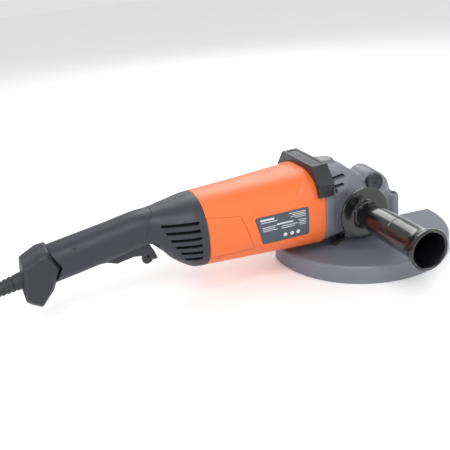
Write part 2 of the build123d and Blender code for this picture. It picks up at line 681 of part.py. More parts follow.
SPRING_T = 0.8
SPRING_HALF = 3.0
with BuildPart() as brush_springs:
    for side in (-1, 1):
        near = side * (brush_start + BRUSH_L)
        far = side * (holder_start + HOLDER_L)
        low_x, high_x = brush_x - SPRING_HALF, brush_x + SPRING_HALF
        low_z, high_z = MOTOR_Z - SPRING_HALF, MOTOR_Z + SPRING_HALF
        block((low_x, near, low_z), (high_x, near + side * SPRING_T, high_z))
        block((low_x, near, low_z), (high_x, far, low_z + SPRING_T))
        block((low_x, far - side * SPRING_T, low_z), (high_x, far, high_z))
brush_springs.part.label = "brush_springs"
export_step(brush_springs.part, "parts/brush_springs.step")

# ---------------------------------------------------------------- gears and spindle
# Both gears shrink towards the point where the two axes cross, at (0, 0, MOTOR_Z).
far_scale = 1.0
near_scale = (CROWN_R - FACE_W) / CROWN_R


def pinion_outline(scale):
    """Closed tooth outline of the pinion around its axis, with a tooth pointing down."""
    points = []
    for tooth in range(PINION_TEETH):
        middle = -pi / 2 + 2 * pi * tooth / PINION_TEETH
        root_r = PINION_R - TOOTH_DOWN
        tip_r = PINION_R + TOOTH_UP
        root_a = (TOOTH_HALF + 0.4) / root_r
        tip_a = TIP_HALF / tip_r
        for radius, angle in ((root_r, -root_a), (tip_r, -tip_a), (tip_r, tip_a), (root_r, root_a)):
            y = radius * cos(middle + angle) * scale
            z = radius * sin(middle + angle) * scale
            points.append((y, z + MOTOR_Z))
    return points


with BuildPart() as pinion:
    for scale in (far_scale, near_scale):
        with BuildSketch(Plane.YZ.offset(-CROWN_R * scale)):
            with BuildLine():
                Polyline(*pinion_outline(scale), close=True)
            make_face()
    loft(ruled=True)
    rod((-CROWN_R - 1, 0, MOTOR_Z), MOTOR_AXIS, CROWN_R, PINION_BORE_R, Mode.SUBTRACT)
pinion.part.label = "pinion"
export_step(pinion.part, "parts/pinion.step")

with BuildPart() as crown_tooth:
    for scale in (far_scale, near_scale):
        root_z = MOTOR_Z - (PINION_R + TOOTH_DOWN + 0.5) * scale
        tip_z = MOTOR_Z - (PINION_R - TOOTH_UP) * scale
        root_half = (TOOTH_HALF + 0.4) * scale
        tip_half = TIP_HALF * scale
        with BuildSketch(Plane.YZ.offset(CROWN_R * scale)):
            with BuildLine():
                Polyline((-root_half, root_z), (root_half, root_z), (tip_half, tip_z), (-tip_half, tip_z), close=True)
            make_face()
    loft(ruled=True)

crown_bottom = MOTOR_Z - PINION_R - CROWN_BASE
crown_root = PINION_R + TOOTH_DOWN
crown_inner_r = CROWN_R * near_scale
crown_top = MOTOR_Z - crown_root * near_scale
with BuildPart() as crown_gear:
    with BuildSketch(Plane.XZ):
        with BuildLine():
            Polyline(
                (SHANK_R, crown_bottom),
                (CROWN_R, crown_bottom),
                (CROWN_R, MOTOR_Z - crown_root),
                (crown_inner_r, crown_top),
                (SHANK_R, crown_top),
                close=True,
            )
        make_face()
    revolve(axis=Axis.Z)
    with PolarLocations(0, CROWN_TEETH, start_angle=180 / CROWN_TEETH):
        add(crown_tooth.part)
crown_gear.part.label = "crown_gear"
export_step(crown_gear.part, "parts/crown_gear.step")

with BuildPart() as spindle_shaft:
    rod((0, 0, -THREAD_DROP), UP, THREAD_DROP - REGISTER_H, THREAD_R)
    rod((0, 0, -REGISTER_H), UP, REGISTER_H + FLANGE_H, FLANGE_BORE_R)
    rod((0, 0, FLANGE_H), UP, crown_top - FLANGE_H, SHANK_R)
    rod((0, 0, crown_top), UP, SPINDLE_TOP - crown_top, TOP_SHANK_R)
    # Cross hole that the real lock pin enters; this one stops just short of the shaft
    rod((0, TOP_SHANK_R + 1, LOCK_PIN_Z), (0, -1, 0), 2 * TOP_SHANK_R + 2, SPINDLE_PIN_R + GAP, Mode.SUBTRACT)
spindle_shaft.part.label = "spindle_shaft"
export_step(spindle_shaft.part, "parts/spindle_shaft.step")

with BuildPart() as inner_flange:
    tube((0, 0, 0), UP, FLANGE_H, FLANGE_R, FLANGE_BORE_R)
    tube((0, 0, -REGISTER_H), UP, REGISTER_H, REGISTER_R, FLANGE_BORE_R)
inner_flange.part.label = "inner_flange"
export_step(inner_flange.part, "parts/inner_flange.step")

with BuildPart() as lower_bearing:
    tube((0, 0, LOWER_BEARING_Z), UP, LOWER_BEARING_H, LOWER_BEARING_R, SHANK_R + FIT)
lower_bearing.part.label = "lower_bearing"
export_step(lower_bearing.part, "parts/lower_bearing.step")

with BuildPart() as upper_bearing:
    tube((0, 0, UPPER_BEARING_Z), UP, UPPER_BEARING_H, UPPER_BEARING_R, TOP_SHANK_R + FIT)
upper_bearing.part.label = "upper_bearing"
export_step(upper_bearing.part, "parts/upper_bearing.step")

# ---------------------------------------------------------------- guard
guard_top = GUARD_DEPTH - RIM_DROP
plate_low = guard_top - GUARD_SHEET
chord_middle = (-GUARD_CHORD * sin(radians(GUARD_TURN)), GUARD_CHORD * cos(radians(GUARD_TURN)))
chord_place = Location((chord_middle[0], chord_middle[1], 0), (0, 0, GUARD_TURN))
with BuildPart() as guard_shell:
    with BuildSketch(Plane.XY.offset(plate_low)):
        Circle(GUARD_R)
        with Locations(chord_place):
            Rectangle(3 * GUARD_R, 2 * GUARD_R, align=(Align.CENTER, Align.MAX), mode=Mode.INTERSECT)
        Circle(GUARD_TAB_R)
        Circle(NECK_R + GAP, mode=Mode.SUBTRACT)
    extrude(amount=GUARD_SHEET)
    with BuildSketch(Plane.XY.offset(-RIM_DROP)):
        Circle(GUARD_R)
        Circle(GUARD_R - GUARD_SHEET, mode=Mode.SUBTRACT)
        with Locations(chord_place):
            Rectangle(3 * GUARD_R, 2 * GUARD_R, align=(Align.CENTER, Align.MAX), mode=Mode.INTERSECT)
    extrude(amount=GUARD_DEPTH)
guard_shell.part.label = "guard_shell"
export_step(guard_shell.part, "parts/guard_shell.step")

EAR_T = 4.5
EAR_H = 5.0
SLIT = 3.0
clamp_place = Location((0, 0, 0), (0, 0, CLAMP_BEARING))
collar_in = NECK_R + FIT
collar_out = collar_in + COLLAR_WALL
ear_reach = CLAMP_REACH - 1.5
ear_mid = collar_out + (ear_reach - collar_out) * 0.6
CLAMP_SCREW_R = 2.0
with BuildPart() as guard_collar:
    rod((0, 0, guard_top), UP, COLLAR_H, collar_out)
    with Locations(clamp_place):
        block((collar_in, -SLIT / 2 - EAR_T, guard_top), (ear_reach, SLIT / 2 + EAR_T, guard_top + EAR_H))
    rod((0, 0, guard_top), UP, COLLAR_H, collar_in, Mode.SUBTRACT)
    with Locations(clamp_place):
        block((0, -SLIT / 2, guard_top), (ear_reach, SLIT / 2, guard_top + COLLAR_H), Mode.SUBTRACT)
        rod(
            (ear_mid, -SLIT / 2 - EAR_T, guard_top + EAR_H / 2),
            (0, 1, 0),
            SLIT + 2 * EAR_T,
            CLAMP_SCREW_R,
            Mode.SUBTRACT,
        )
guard_collar.part.label = "guard_collar"
export_step(guard_collar.part, "parts/guard_collar.step")

with BuildPart() as guard_clamp_screw:
    with Locations(clamp_place):
        rod((ear_mid, -SLIT / 2 - EAR_T, guard_top + EAR_H / 2), (0, 1, 0), SLIT + 2 * EAR_T, CLAMP_SCREW_R)
guard_clamp_screw.part.label = "guard_clamp_screw"
export_step(guard_clamp_screw.part, "parts/guard_clamp_screw.step")

LEVER_HUB_R = 5.5
LEVER_W = 8.0
LEVER_PIN_R = 2.5
lever_pivot_r = CLAMP_REACH + LEVER_HUB_R
with BuildPart() as guard_lever_pin:
    with Locations(clamp_place):
        rod((lever_pivot_r, 0, guard_top), UP, GAP + LEVER_T, LEVER_PIN_R)
guard_lever_pin.part.label = "guard_lever_pin"
export_step(guard_lever_pin.part, "parts/guard_lever_pin.step")

with BuildPart() as guard_lever:
    with Locations(clamp_place):
        rod((lever_pivot_r, 0, guard_top + GAP), UP, LEVER_T, LEVER_HUB_R)
        block(
            (lever_pivot_r, -LEVER_W / 2, guard_top + GAP),
            (lever_pivot_r + LEVER_L, LEVER_W / 2, guard_top + GAP + LEVER_T),
        )
        rod((lever_pivot_r, 0, guard_top + GAP), UP, LEVER_T, LEVER_PIN_R + FIT, Mode.SUBTRACT)
guard_lever.part.label = "guard_lever"
export_step(guard_lever.part, "parts/guard_lever.step")

# ---------------------------------------------------------------- spindle lock
with BuildPart() as lock_button:
    rod((0, button_rear, LOCK_BUTTON_Z), (0, -1, 0), button_rear - LOCK_BUTTON_Y, LOCK_BUTTON_R)
lock_button.part.label = "lock_button"
export_step(lock_button.part, "parts/lock_button.step")

lock_pin_tip = -TOP_SHANK_R - GAP - LOCK_TRAVEL
with BuildPart() as lock_pin:
    rod((0, lock_pin_tip, LOCK_PIN_Z), (0, -1, 0), lock_pin_tip - button_rear, SPINDLE_PIN_R)
lock_pin.part.label = "lock_pin"
export_step(lock_pin.part, "parts/lock_pin.step")

# ---------------------------------------------------------------- rear handle
tail_outline = (TAIL_TOP, TAIL_POINT, TAIL_HEEL, TAIL_FOOT, *TAIL_BACK)
tail_prism = side_prism(tail_outline, 2 * TAIL_HALF_Y, -2 * TAIL_HALF_Y)
HANDLE_BOSS_R = 6.0
HEAD_DEPTH_Y = -16.0
SCREW_HEAD_L = 3.0
SLOT_GAP = 0.6
slot_half = TRIGGER_HALF_Y + SLOT_GAP
PIVOT_LUG = 5.0
PIVOT_HALF_L = 14.0
HANDLE_SCREW_L = 28.0
TRIGGER_ROOM = 15.5
VENT_IN_Y = 12.0
slot_top = LOCK_PIVOT[1] + 18.0
pivot_start = (TRIGGER_PIVOT[0], -PIVOT_HALF_L, TRIGGER_PIVOT[1])

with BuildPart() as handle_space:
    add(handle_inner)
    # Screw bosses and the trigger's pivot lugs stay standing in the hollow
    for x, z in HANDLE_SCREWS:
        rod((x, HEAD_DEPTH_Y, z), (0, 1, 0), 3 * REAR_HALF_Y, HANDLE_BOSS_R, Mode.SUBTRACT)
        rod((x, HEAD_DEPTH_Y, z), (0, -1, 0), 3 * REAR_HALF_Y, HANDLE_BOSS_R, Mode.SUBTRACT)
    for side in (-1, 1):
        block(
            (TRIGGER_PIVOT[0] - PIVOT_LUG, side * slot_half, TRIGGER_PIVOT[1] - PIVOT_LUG - 2),
            (TRIGGER_PIVOT[0] + PIVOT_LUG, side * 3 * TAIL_HALF_Y, TRIGGER_PIVOT[1] + PIVOT_LUG),
            Mode.SUBTRACT,
        )

with BuildPart() as handle_shell:
    add(handle_outer)
    add(handle_space.part, mode=Mode.SUBTRACT)
    # The rear end is closed by the tail cap
    add(tail_prism, mode=Mode.SUBTRACT)
    block((TAIL_BACK[1][0] - 10, -100, 0), (TAIL_TOP[0], 100, 150), Mode.SUBTRACT)
    # Slot of the trigger in the underside
    block(
        (TRIGGER_PIVOT[0] - PIVOT_LUG - 2, -slot_half, 0),
        (LOCK_PIVOT[0] + TRIGGER_ROOM, slot_half, slot_top),
        Mode.SUBTRACT,
    )
    # Air slots on both sides
    for rear_x, z in VENT_REARS:
        for side in (-1, 1):
            vent_low = (rear_x, side * VENT_IN_Y, z - VENT_H / 2)
            block(vent_low, (VENT_FRONT_X, side * 2 * REAR_HALF_Y, z + VENT_H / 2), Mode.SUBTRACT)
    # Screw holes, counterbored from the right side, and the bore of the trigger's pin
    for x, z in HANDLE_SCREWS:
        rod((x, HEAD_DEPTH_Y, z), (0, -1, 0), 2 * REAR_HALF_Y, HANDLE_HEAD_R + HAIR, Mode.SUBTRACT)
        rod((x, HEAD_DEPTH_Y, z), (0, 1, 0), HANDLE_SCREW_L, HANDLE_SCREW_R, Mode.SUBTRACT)
    rod(pivot_start, (0, 1, 0), 2 * PIVOT_HALF_L, TRIGGER_PIN_R, Mode.SUBTRACT)

with BuildPart() as rear_handle_right:
    add(handle_shell.part)
    split(bisect_by=Plane.XZ, keep=Keep.TOP)
rear_handle_right.part.label = "rear_handle_right"
export_step(rear_handle_right.part, "parts/rear_handle_right.step")

with BuildPart() as rear_handle_left:
    add(handle_shell.part)
    split(bisect_by=Plane.XZ, keep=Keep.BOTTOM)
rear_handle_left.part.label = "rear_handle_left"
export_step(rear_handle_left.part, "parts/rear_handle_left.step")

FOOT_SCREW = (-441.0, 37.0)
with BuildPart() as handle_screws:
    for x, z in (*HANDLE_SCREWS, FOOT_SCREW):
        rod((x, HEAD_DEPTH_Y, z), (0, -1, 0), SCREW_HEAD_L, HANDLE_HEAD_R)
        rod((x, HEAD_DEPTH_Y, z), (0, 1, 0), HANDLE_SCREW_L, HANDLE_SCREW_R)
handle_screws.part.label = "handle_screws"
export_step(handle_screws.part, "parts/handle_screws.step")

# ---------------------------------------------------------------- tail cap, sleeve and cord
slope = radians(CORD_SLOPE)
cord_direction = (-cos(slope), 0.0, sin(slope))


def along_cord(distance):
    """Point on the line of the cord's exit, a distance outwards from the tail cap's rear face."""
    return tuple(c + d * distance for c, d in zip(CORD_EXIT, cord_direction))


backwards = tuple(-c for c in cord_direction)
LEAD_IN = 44.0  # length of cord inside the handle, past the sleeve's seat
lead_l = SLEEVE_L + SLEEVE_SEAT + LEAD_IN
foot_start = (FOOT_SCREW[0], HEAD_DEPTH_Y, FOOT_SCREW[1])
with BuildPart() as tail_cap:
    add(side_prism(tail_outline, TAIL_HALF_Y, -TAIL_HALF_Y))
    chamfer(tail_cap.edges().filter_by_position(Axis.Y, TAIL_HALF_Y - 0.1, TAIL_HALF_Y + 0.1), TAIL_CHAMFER)
    chamfer(tail_cap.edges().filter_by_position(Axis.Y, -TAIL_HALF_Y - 0.1, 0.1 - TAIL_HALF_Y), TAIL_CHAMFER)
    rod(along_cord(SLEEVE_SEAT), backwards, 2 * SLEEVE_SEAT, SLEEVE_ROOT_R, Mode.SUBTRACT)
    rod(along_cord(-SLEEVE_SEAT), backwards, 3 * TAIL_HALF_Y, CORD_R + HAIR, Mode.SUBTRACT)
    rod(foot_start, (0, -1, 0), 2 * TAIL_HALF_Y, HANDLE_HEAD_R + HAIR, Mode.SUBTRACT)
    rod(foot_start, (0, 1, 0), HANDLE_SCREW_L, HANDLE_SCREW_R, Mode.SUBTRACT)

with BuildPart() as tail_cap_right:
    add(tail_cap.part)
    split(bisect_by=Plane.XZ, keep=Keep.TOP)
tail_cap_right.part.label = "tail_cap_right"
export_step(tail_cap_right.part, "parts/tail_cap_right.step")

with BuildPart() as tail_cap_left:
    add(tail_cap.part)
    split(bisect_by=Plane.XZ, keep=Keep.BOTTOM)
tail_cap_left.part.label = "tail_cap_left"
export_step(tail_cap_left.part, "parts/tail_cap_left.step")

with BuildPart() as strain_relief:
    rod(along_cord(-SLEEVE_SEAT), cord_direction, SLEEVE_SEAT, SLEEVE_ROOT_R)
    with Locations(Plane(origin=along_cord(0), z_dir=cord_direction)):
        Cone(SLEEVE_ROOT_R, SLEEVE_TIP_R, SLEEVE_L, align=(Align.CENTER, Align.CENTER, Align.MIN))
    rod(along_cord(-SLEEVE_SEAT), cord_direction, SLEEVE_SEAT + SLEEVE_L, CORD_R, Mode.SUBTRACT)
strain_relief.part.label = "strain_relief"
export_step(strain_relief.part, "parts/strain_relief.step")

with BuildPart() as inner_cord:
    rod(along_cord(SLEEVE_L), backwards, lead_l, CORD_R)
inner_cord.part.label = "inner_cord"
export_step(inner_cord.part, "parts/inner_cord.step")

CLAMP_L = 7.0
CLAMP_HALF_Y = 13.0
CLAMP_HALF_Z = 8.5
CLAMP_BOLT_Y = 9.0
CLAMP_BOLT_R = 1.8
clamp_x, _, clamp_z = along_cord(SLEEVE_L - lead_l + CLAMP_L - 2)
with BuildPart() as cord_clamp:
    block(
        (clamp_x - CLAMP_L / 2, -CLAMP_HALF_Y, clamp_z - CLAMP_HALF_Z),
        (clamp_x + CLAMP_L / 2, CLAMP_HALF_Y, clamp_z + CLAMP_HALF_Z),
    )
    rod(along_cord(SLEEVE_L), backwards, lead_l + CLAMP_L, CORD_R, Mode.SUBTRACT)
    for y in (-CLAMP_BOLT_Y, CLAMP_BOLT_Y):
        rod((clamp_x, y, clamp_z - CLAMP_HALF_Z), UP, 2 * CLAMP_HALF_Z, CLAMP_BOLT_R, Mode.SUBTRACT)
cord_clamp.part.label = "cord_clamp"
export_step(cord_clamp.part, "parts/cord_clamp.step")

with BuildPart() as cord_clamp_screws:
    for y in (-CLAMP_BOLT_Y, CLAMP_BOLT_Y):
        rod((clamp_x, y, clamp_z - CLAMP_HALF_Z), UP, 2 * CLAMP_HALF_Z, CLAMP_BOLT_R)
cord_clamp_screws.part.label = "cord_clamp_screws"
export_step(cord_clamp_screws.part, "parts/cord_clamp_screws.step")

coil_x, coil_y = COIL_CENTRE
coil_outer = COIL_MEAN_R + COIL_WIDE * CORD_R
coil_inner = COIL_MEAN_R - COIL_WIDE * CORD_R
coil_height = 2 * COIL_HIGH * CORD_R
outer_turn = coil_outer - CORD_R
entry = (coil_x - outer_turn, coil_y - COIL_ENTRY_L, FLOOR_Z + CORD_R)
plug_z = FLOOR_Z + PLUG_R
cord_points = [along_cord(SLEEVE_L), *CORD_CORNERS, entry]
cord_runs = [(Vector(b) - Vector(a)) for a, b in zip(cord_points, cord_points[1:])]
cord_radii = [
    0.45 * min(a.length, b.length) / tan(radians(a.get_angle(b)) / 2) for a, b in zip(cord_runs, cord_runs[1:])
]
with BuildPart() as power_cord:
    with BuildLine() as cord_route:
        FilletPolyline(*cord_points, radius=cord_radii)
    with BuildSketch(Plane(origin=cord_route.line @ 0, z_dir=cord_route.line % 0)):
        Circle(CORD_R)
    sweep(path=cord_route.line)
cord_length = sum(edge.length for edge in cord_route.edges())
print("cord radii", [round(r, 1) for r in cord_radii], "runs", [round(r.length, 1) for r in cord_runs])
print(
    "cord length", round(cord_length, 1), "volume ratio",
    round(power_cord.part.volume / (pi * CORD_R**2 * cord_length), 4),
)
power_cord.part.label = "power_cord"
export_step(power_cord.part, "parts/power_cord.step")

with BuildPart() as cord_coil:
    rod((coil_x, coil_y, FLOOR_Z + COIL_LIFT), UP, coil_height, coil_outer)
    rod(entry, (0, 1, 0), COIL_ENTRY_L - COIL_JOIN, CORD_R)
    rod((coil_x + COIL_JOIN, coil_y + outer_turn, plug_z), (1, 0, 0), COIL_LEAVE_L - COIL_JOIN, CORD_R)
    rod((coil_x, coil_y, FLOOR_Z + COIL_LIFT), UP, coil_height, coil_inner, Mode.SUBTRACT)
cord_coil.part.label = "cord_coil"
export_step(cord_coil.part, "parts/cord_coil.step")

plug_start = (coil_x + COIL_LEAVE_L, coil_y + outer_turn, plug_z)
with BuildPart() as plug_body:
    rod(plug_start, MOTOR_AXIS, PLUG_L, PLUG_R)
    fillet(plug_body.edges().filter_by(GeomType.CIRCLE).sort_by(Axis.X)[0], radius=PLUG_R / 2)
    for side in (-1, 1):
        start = (plug_start[0] + PLUG_L / 2, plug_start[1] + side * PIN_SPACING / 2, plug_z)
        rod(start, MOTOR_AXIS, PLUG_L / 2, PIN_R, Mode.SUBTRACT)
plug_body.part.label = "plug_body"
export_step(plug_body.part, "parts/plug_body.step")

with BuildPart() as plug_pins:
    for side in (-1, 1):
        start = (plug_start[0] + PLUG_L / 2, plug_start[1] + side * PIN_SPACING / 2, plug_z)
        rod(start, MOTOR_AXIS, PLUG_L / 2 + PIN_L, PIN_R)
plug_pins.part.label = "plug_pins"
export_step(plug_pins.part, "parts/plug_pins.step")

# ---------------------------------------------------------------- trigger, lock-off lever and switch
TRIGGER_TOP = ((-300.0, 66.0), (-384.0, 64.0), (-388.5, 62.0), (-388.5, 58.0))
TRIGGER_UNDER = (
    (-386.0, 55.5),
    (-354.0, 55.2),
    (-342.6, 50.7),
    (-321.0, 54.2),
    (-308.7, 52.2),
    (-304.0, 46.5),
    (-296.0, 44.5),
    (-291.8, 44.9),
    (-295.0, 55.0),
)
LOCK_OUTLINE = (
    (-307.6, 53.4),
    (-300.4, 53.4),
    (-296.2, 46.5),
    (-295.9, 43.3),
    (-300.0, 39.0),
    (-305.6, 37.7),
    (-310.0, 41.0),
    (-309.5, 46.0),
)
FORK_REAR = 11.0
FORK_FRONT = 16.0
FORK_TOP = 6.0
with BuildPart() as trigger:
    add(side_prism((*TRIGGER_TOP, *TRIGGER_UNDER), TRIGGER_HALF_Y, -TRIGGER_HALF_Y))
    rod(
        (TRIGGER_PIVOT[0], -TRIGGER_HALF_Y, TRIGGER_PIVOT[1]),
        (0, 1, 0),
        2 * TRIGGER_HALF_Y,
        TRIGGER_PIN_R + FIT,
        Mode.SUBTRACT,
    )
    # Fork for the lock-off lever and the bore of its pin
    block(
        (LOCK_PIVOT[0] - FORK_REAR, -LOCK_HALF_Y - GAP, 0),
        (LOCK_PIVOT[0] + FORK_FRONT, LOCK_HALF_Y + GAP, LOCK_PIVOT[1] + FORK_TOP),
        Mode.SUBTRACT,
    )
    rod(
        (LOCK_PIVOT[0], -TRIGGER_HALF_Y, LOCK_PIVOT[1]),
        (0, 1, 0),
        2 * TRIGGER_HALF_Y,
        LOCK_PIN_R,
        Mode.SUBTRACT,
    )
trigger.part.label = "trigger"
export_step(trigger.part, "parts/trigger.step")

with BuildPart() as lock_off_pin:
    rod((LOCK_PIVOT[0], -TRIGGER_HALF_Y, LOCK_PIVOT[1]), (0, 1, 0), 2 * TRIGGER_HALF_Y, LOCK_PIN_R)
lock_off_pin.part.label = "lock_off_pin"
export_step(lock_off_pin.part, "parts/lock_off_pin.step")

with BuildPart() as lock_off_lever:
    add(side_prism(LOCK_OUTLINE, LOCK_HALF_Y, -LOCK_HALF_Y))
    rod((LOCK_PIVOT[0], -LOCK_HALF_Y, LOCK_PIVOT[1]), (0, 1, 0), 2 * LOCK_HALF_Y, LOCK_PIN_R + FIT, Mode.SUBTRACT)
lock_off_lever.part.label = "lock_off_lever"
export_step(lock_off_lever.part, "parts/lock_off_lever.step")

with BuildPart() as trigger_pin:
    rod(pivot_start, (0, 1, 0), 2 * PIVOT_HALF_L, TRIGGER_PIN_R)
trigger_pin.part.label = "trigger_pin"
export_step(trigger_pin.part, "parts/trigger_pin.step")

plunger_share = (PLUNGER_X - TRIGGER_TOP[1][0]) / (TRIGGER_TOP[0][0] - TRIGGER_TOP[1][0])
plunger_low = between(TRIGGER_TOP[1][1], TRIGGER_TOP[0][1], plunger_share) + GAP
PLUNGER_IN = 4.0
with BuildPart() as switch_body:
    block((SWITCH_X[0], -SWITCH_HALF_Y, SWITCH_Z[0]), (SWITCH_X[1], SWITCH_HALF_Y, SWITCH_Z[1]))
    rod((PLUNGER_X, 0, SWITCH_Z[0]), UP, PLUNGER_IN + PLUNGER_TRAVEL + 1, PLUNGER_R + FIT, Mode.SUBTRACT)
switch_body.part.label = "switch_body"
export_step(switch_body.part, "parts/switch_body.step")

with BuildPart() as switch_plunger:
    rod((PLUNGER_X, 0, plunger_low), UP, SWITCH_Z[0] + PLUNGER_IN - plunger_low, PLUNGER_R)
switch_plunger.part.label = "switch_plunger"
export_step(switch_plunger.part, "parts/switch_plunger.step")

MODULE_LOW = (-294.0, -13.0, 76.0)
MODULE_HIGH = (-266.0, 13.0, 94.0)
with BuildPart() as electronics_module:
    block(MODULE_LOW, MODULE_HIGH)
electronics_module.part.label = "electronics_module"
export_step(electronics_module.part, "parts/electronics_module.step")

CAPACITOR_START = (-264.0, 0, 61.0)
CAPACITOR_L = 22.0
CAPACITOR_R = 8.0
with BuildPart() as suppression_capacitor:
    rod(CAPACITOR_START, MOTOR_AXIS, CAPACITOR_L, CAPACITOR_R)
suppression_capacitor.part.label = "suppression_capacitor"
export_step(suppression_capacitor.part, "parts/suppression_capacitor.step")

# ---------------------------------------------------------------- side handle
side_plane = Plane(origin=(SIDE_SOCKET_X, 0, SIDE_SOCKET_Z), x_dir=(1, 0, 0), z_dir=(0, 0, 1))
side_axis = Axis((SIDE_SOCKET_X, 0, SIDE_SOCKET_Z), (0, 1, 0))
handle_start = -SIDE_SOCKET_Y - HAIR
STUD_IN = 11.0
STUD_BACK = 56.0
JOIN_L = 12.0
JOIN_R = 12.0
SHIELD_CONE = 6.0
ROOT_L = 12.0
SWELL_L = 42.0
FLARE_L = 19.0
FLARE_MID_L = 11.0
FLARE_STEP = 3.5
FLARE_RIM = 3.0
with BuildPart() as side_handle_stud:
    rod((SIDE_SOCKET_X, STUD_IN - SIDE_SOCKET_Y, SIDE_SOCKET_Z), (0, -1, 0), STUD_IN + STUD_BACK, STUD_R)
side_handle_stud.part.label = "side_handle_stud"
export_step(side_handle_stud.part, "parts/side_handle_stud.step")

with BuildPart() as side_handle_grip:
    with BuildSketch(side_plane):
        with BuildLine():
            Polyline(
                (0, handle_start),
                (SOCKET_BOSS_R, handle_start),
                (SOCKET_BOSS_R, SHIELD_Y[0] + SHIELD_CONE),
                (SHIELD_R, SHIELD_Y[0]),
                (SHIELD_R, SHIELD_Y[1]),
                (HANDLE_ROOT_R, SHIELD_Y[1]),
                (HANDLE_ROOT_R, SHIELD_Y[1] - ROOT_L),
                (HANDLE_MID_R, SHIELD_Y[1] - SWELL_L),
                (HANDLE_MID_R, SLEEVE_Y),
                (JOIN_R, SLEEVE_Y),
                (JOIN_R, SLEEVE_Y - JOIN_L),
                (0, SLEEVE_Y - JOIN_L),
                close=True,
            )
        make_face()
    revolve(axis=side_axis)
    rod((SIDE_SOCKET_X, handle_start + 1, SIDE_SOCKET_Z), (0, -1, 0), STUD_BACK + 1 - HAIR, STUD_R, Mode.SUBTRACT)
side_handle_grip.part.label = "side_handle_grip"
export_step(side_handle_grip.part, "parts/side_handle_grip.step")

with BuildPart() as side_handle_end:
    with BuildSketch(side_plane):
        with BuildLine():
            Polyline(
                (0, SLEEVE_Y - JOIN_L),
                (JOIN_R, SLEEVE_Y - JOIN_L),
                (JOIN_R, SLEEVE_Y - HAIR),
                (SLEEVE_R, SLEEVE_Y - HAIR),
                (SLEEVE_R, SIDE_END_Y + FLARE_L),
                (FLARE_R - FLARE_STEP, SIDE_END_Y + FLARE_MID_L),
                (FLARE_R, SIDE_END_Y + FLARE_RIM),
                (FLARE_R, SIDE_END_Y),
                (CUP_R, SIDE_END_Y),
                (CUP_FLOOR_R, SIDE_END_Y + CUP_DEPTH),
                (0, SIDE_END_Y + CUP_DEPTH),
                close=True,
            )
        make_face()
    revolve(axis=side_axis)
side_handle_end.part.label = "side_handle_end"
export_step(side_handle_end.part, "parts/side_handle_end.step")
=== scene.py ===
"""Finished surfaces and studio for a large angle grinder.

The CAD frame fixes every size and every place. The classes below dress it: each sub-assembly holds its own
sizes in millimetres, builds its meshes in the frame and gives them a finish made of shader nodes.
"""

import json
import logging
import math
from dataclasses import dataclass
from enum import Enum
from typing import Callable, Iterable, Sequence

import bmesh
import bpy
import numpy as np
from mathutils import Matrix, Vector


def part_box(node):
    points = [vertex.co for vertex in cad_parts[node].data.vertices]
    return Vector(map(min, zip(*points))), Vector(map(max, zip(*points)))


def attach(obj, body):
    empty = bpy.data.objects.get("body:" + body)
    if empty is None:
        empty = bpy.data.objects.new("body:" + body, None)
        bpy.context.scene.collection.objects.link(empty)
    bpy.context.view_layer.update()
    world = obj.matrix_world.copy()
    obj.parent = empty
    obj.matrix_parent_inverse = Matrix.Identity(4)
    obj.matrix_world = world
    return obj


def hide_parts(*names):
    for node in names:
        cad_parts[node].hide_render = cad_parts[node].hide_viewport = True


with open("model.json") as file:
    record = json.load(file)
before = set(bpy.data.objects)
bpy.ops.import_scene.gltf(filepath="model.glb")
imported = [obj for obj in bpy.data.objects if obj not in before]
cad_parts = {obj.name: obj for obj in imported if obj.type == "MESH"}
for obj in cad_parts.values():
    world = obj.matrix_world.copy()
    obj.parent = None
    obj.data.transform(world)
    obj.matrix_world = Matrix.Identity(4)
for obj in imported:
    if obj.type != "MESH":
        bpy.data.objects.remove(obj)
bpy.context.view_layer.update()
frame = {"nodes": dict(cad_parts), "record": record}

LOG = logging.getLogger("grinder")
MM = 0.001
Point = tuple[float, float, float]
Flat = tuple[float, float]


# ------------------------------------------------------------------------------------------ small tools
@dataclass(frozen=True)
class Extent:
    """Box of a CAD node at rest, in millimetres.

    Attributes:
        low: Its lowest corner.
        high: Its highest corner.
    """

    low: Vector
    high: Vector

    @property
    def middle(self) -> Vector:
        """Centre of the box."""
        return (self.low + self.high) / 2


def extent(node: str) -> Extent:
    """Read a CAD node's box.

    Args:
        node: Name of the CAD node.

    Returns:
        Its lowest and highest corner in millimetres.
    """
    low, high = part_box(node)
    return Extent(low / MM, high / MM)


def smoothstep(value: np.ndarray, low: float, high: float) -> np.ndarray:
    """Soft step from 0 at low to 1 at high, for each value."""
    share = np.clip((value - low) / (high - low), 0.0, 1.0)
    return share * share * (3.0 - 2.0 * share)


def path_distance(x: np.ndarray, z: np.ndarray, path: Sequence[Flat], closed: bool = False) -> np.ndarray:
    """Distance from points of a plane to a chain of straight runs.

    Args:
        x: First coordinates of the points.
        z: Second coordinates of the points.
        path: Corners of the chain.
        closed: Whether the last corner joins the first.

    Returns:
        The distance of each point to the nearest run.
    """
    corners = list(path) + ([path[0]] if closed else [])
    best = np.full(x.shape, 1e9)
    for (ax, az), (bx, bz) in zip(corners, corners[1:]):
        run_x, run_z = bx - ax, bz - az
        share = ((x - ax) * run_x + (z - az) * run_z) / (run_x**2 + run_z**2)
        share = np.clip(share, 0.0, 1.0)
        best = np.minimum(best, np.hypot(x - ax - share * run_x, z - az - share * run_z))
    return best


def inside(x: np.ndarray, z: np.ndarray, outline: Sequence[Flat]) -> np.ndarray:
    """Whether points of a plane lie inside a closed outline."""
    result = np.zeros(x.shape, bool)
    for (ax, az), (bx, bz) in zip(outline, list(outline[1:]) + [outline[0]]):
        if az == bz:
            continue
        crosses = (az > z) != (bz > z)
        result ^= crosses & (x < (bx - ax) * (z - az) / (bz - az) + ax)
    return result


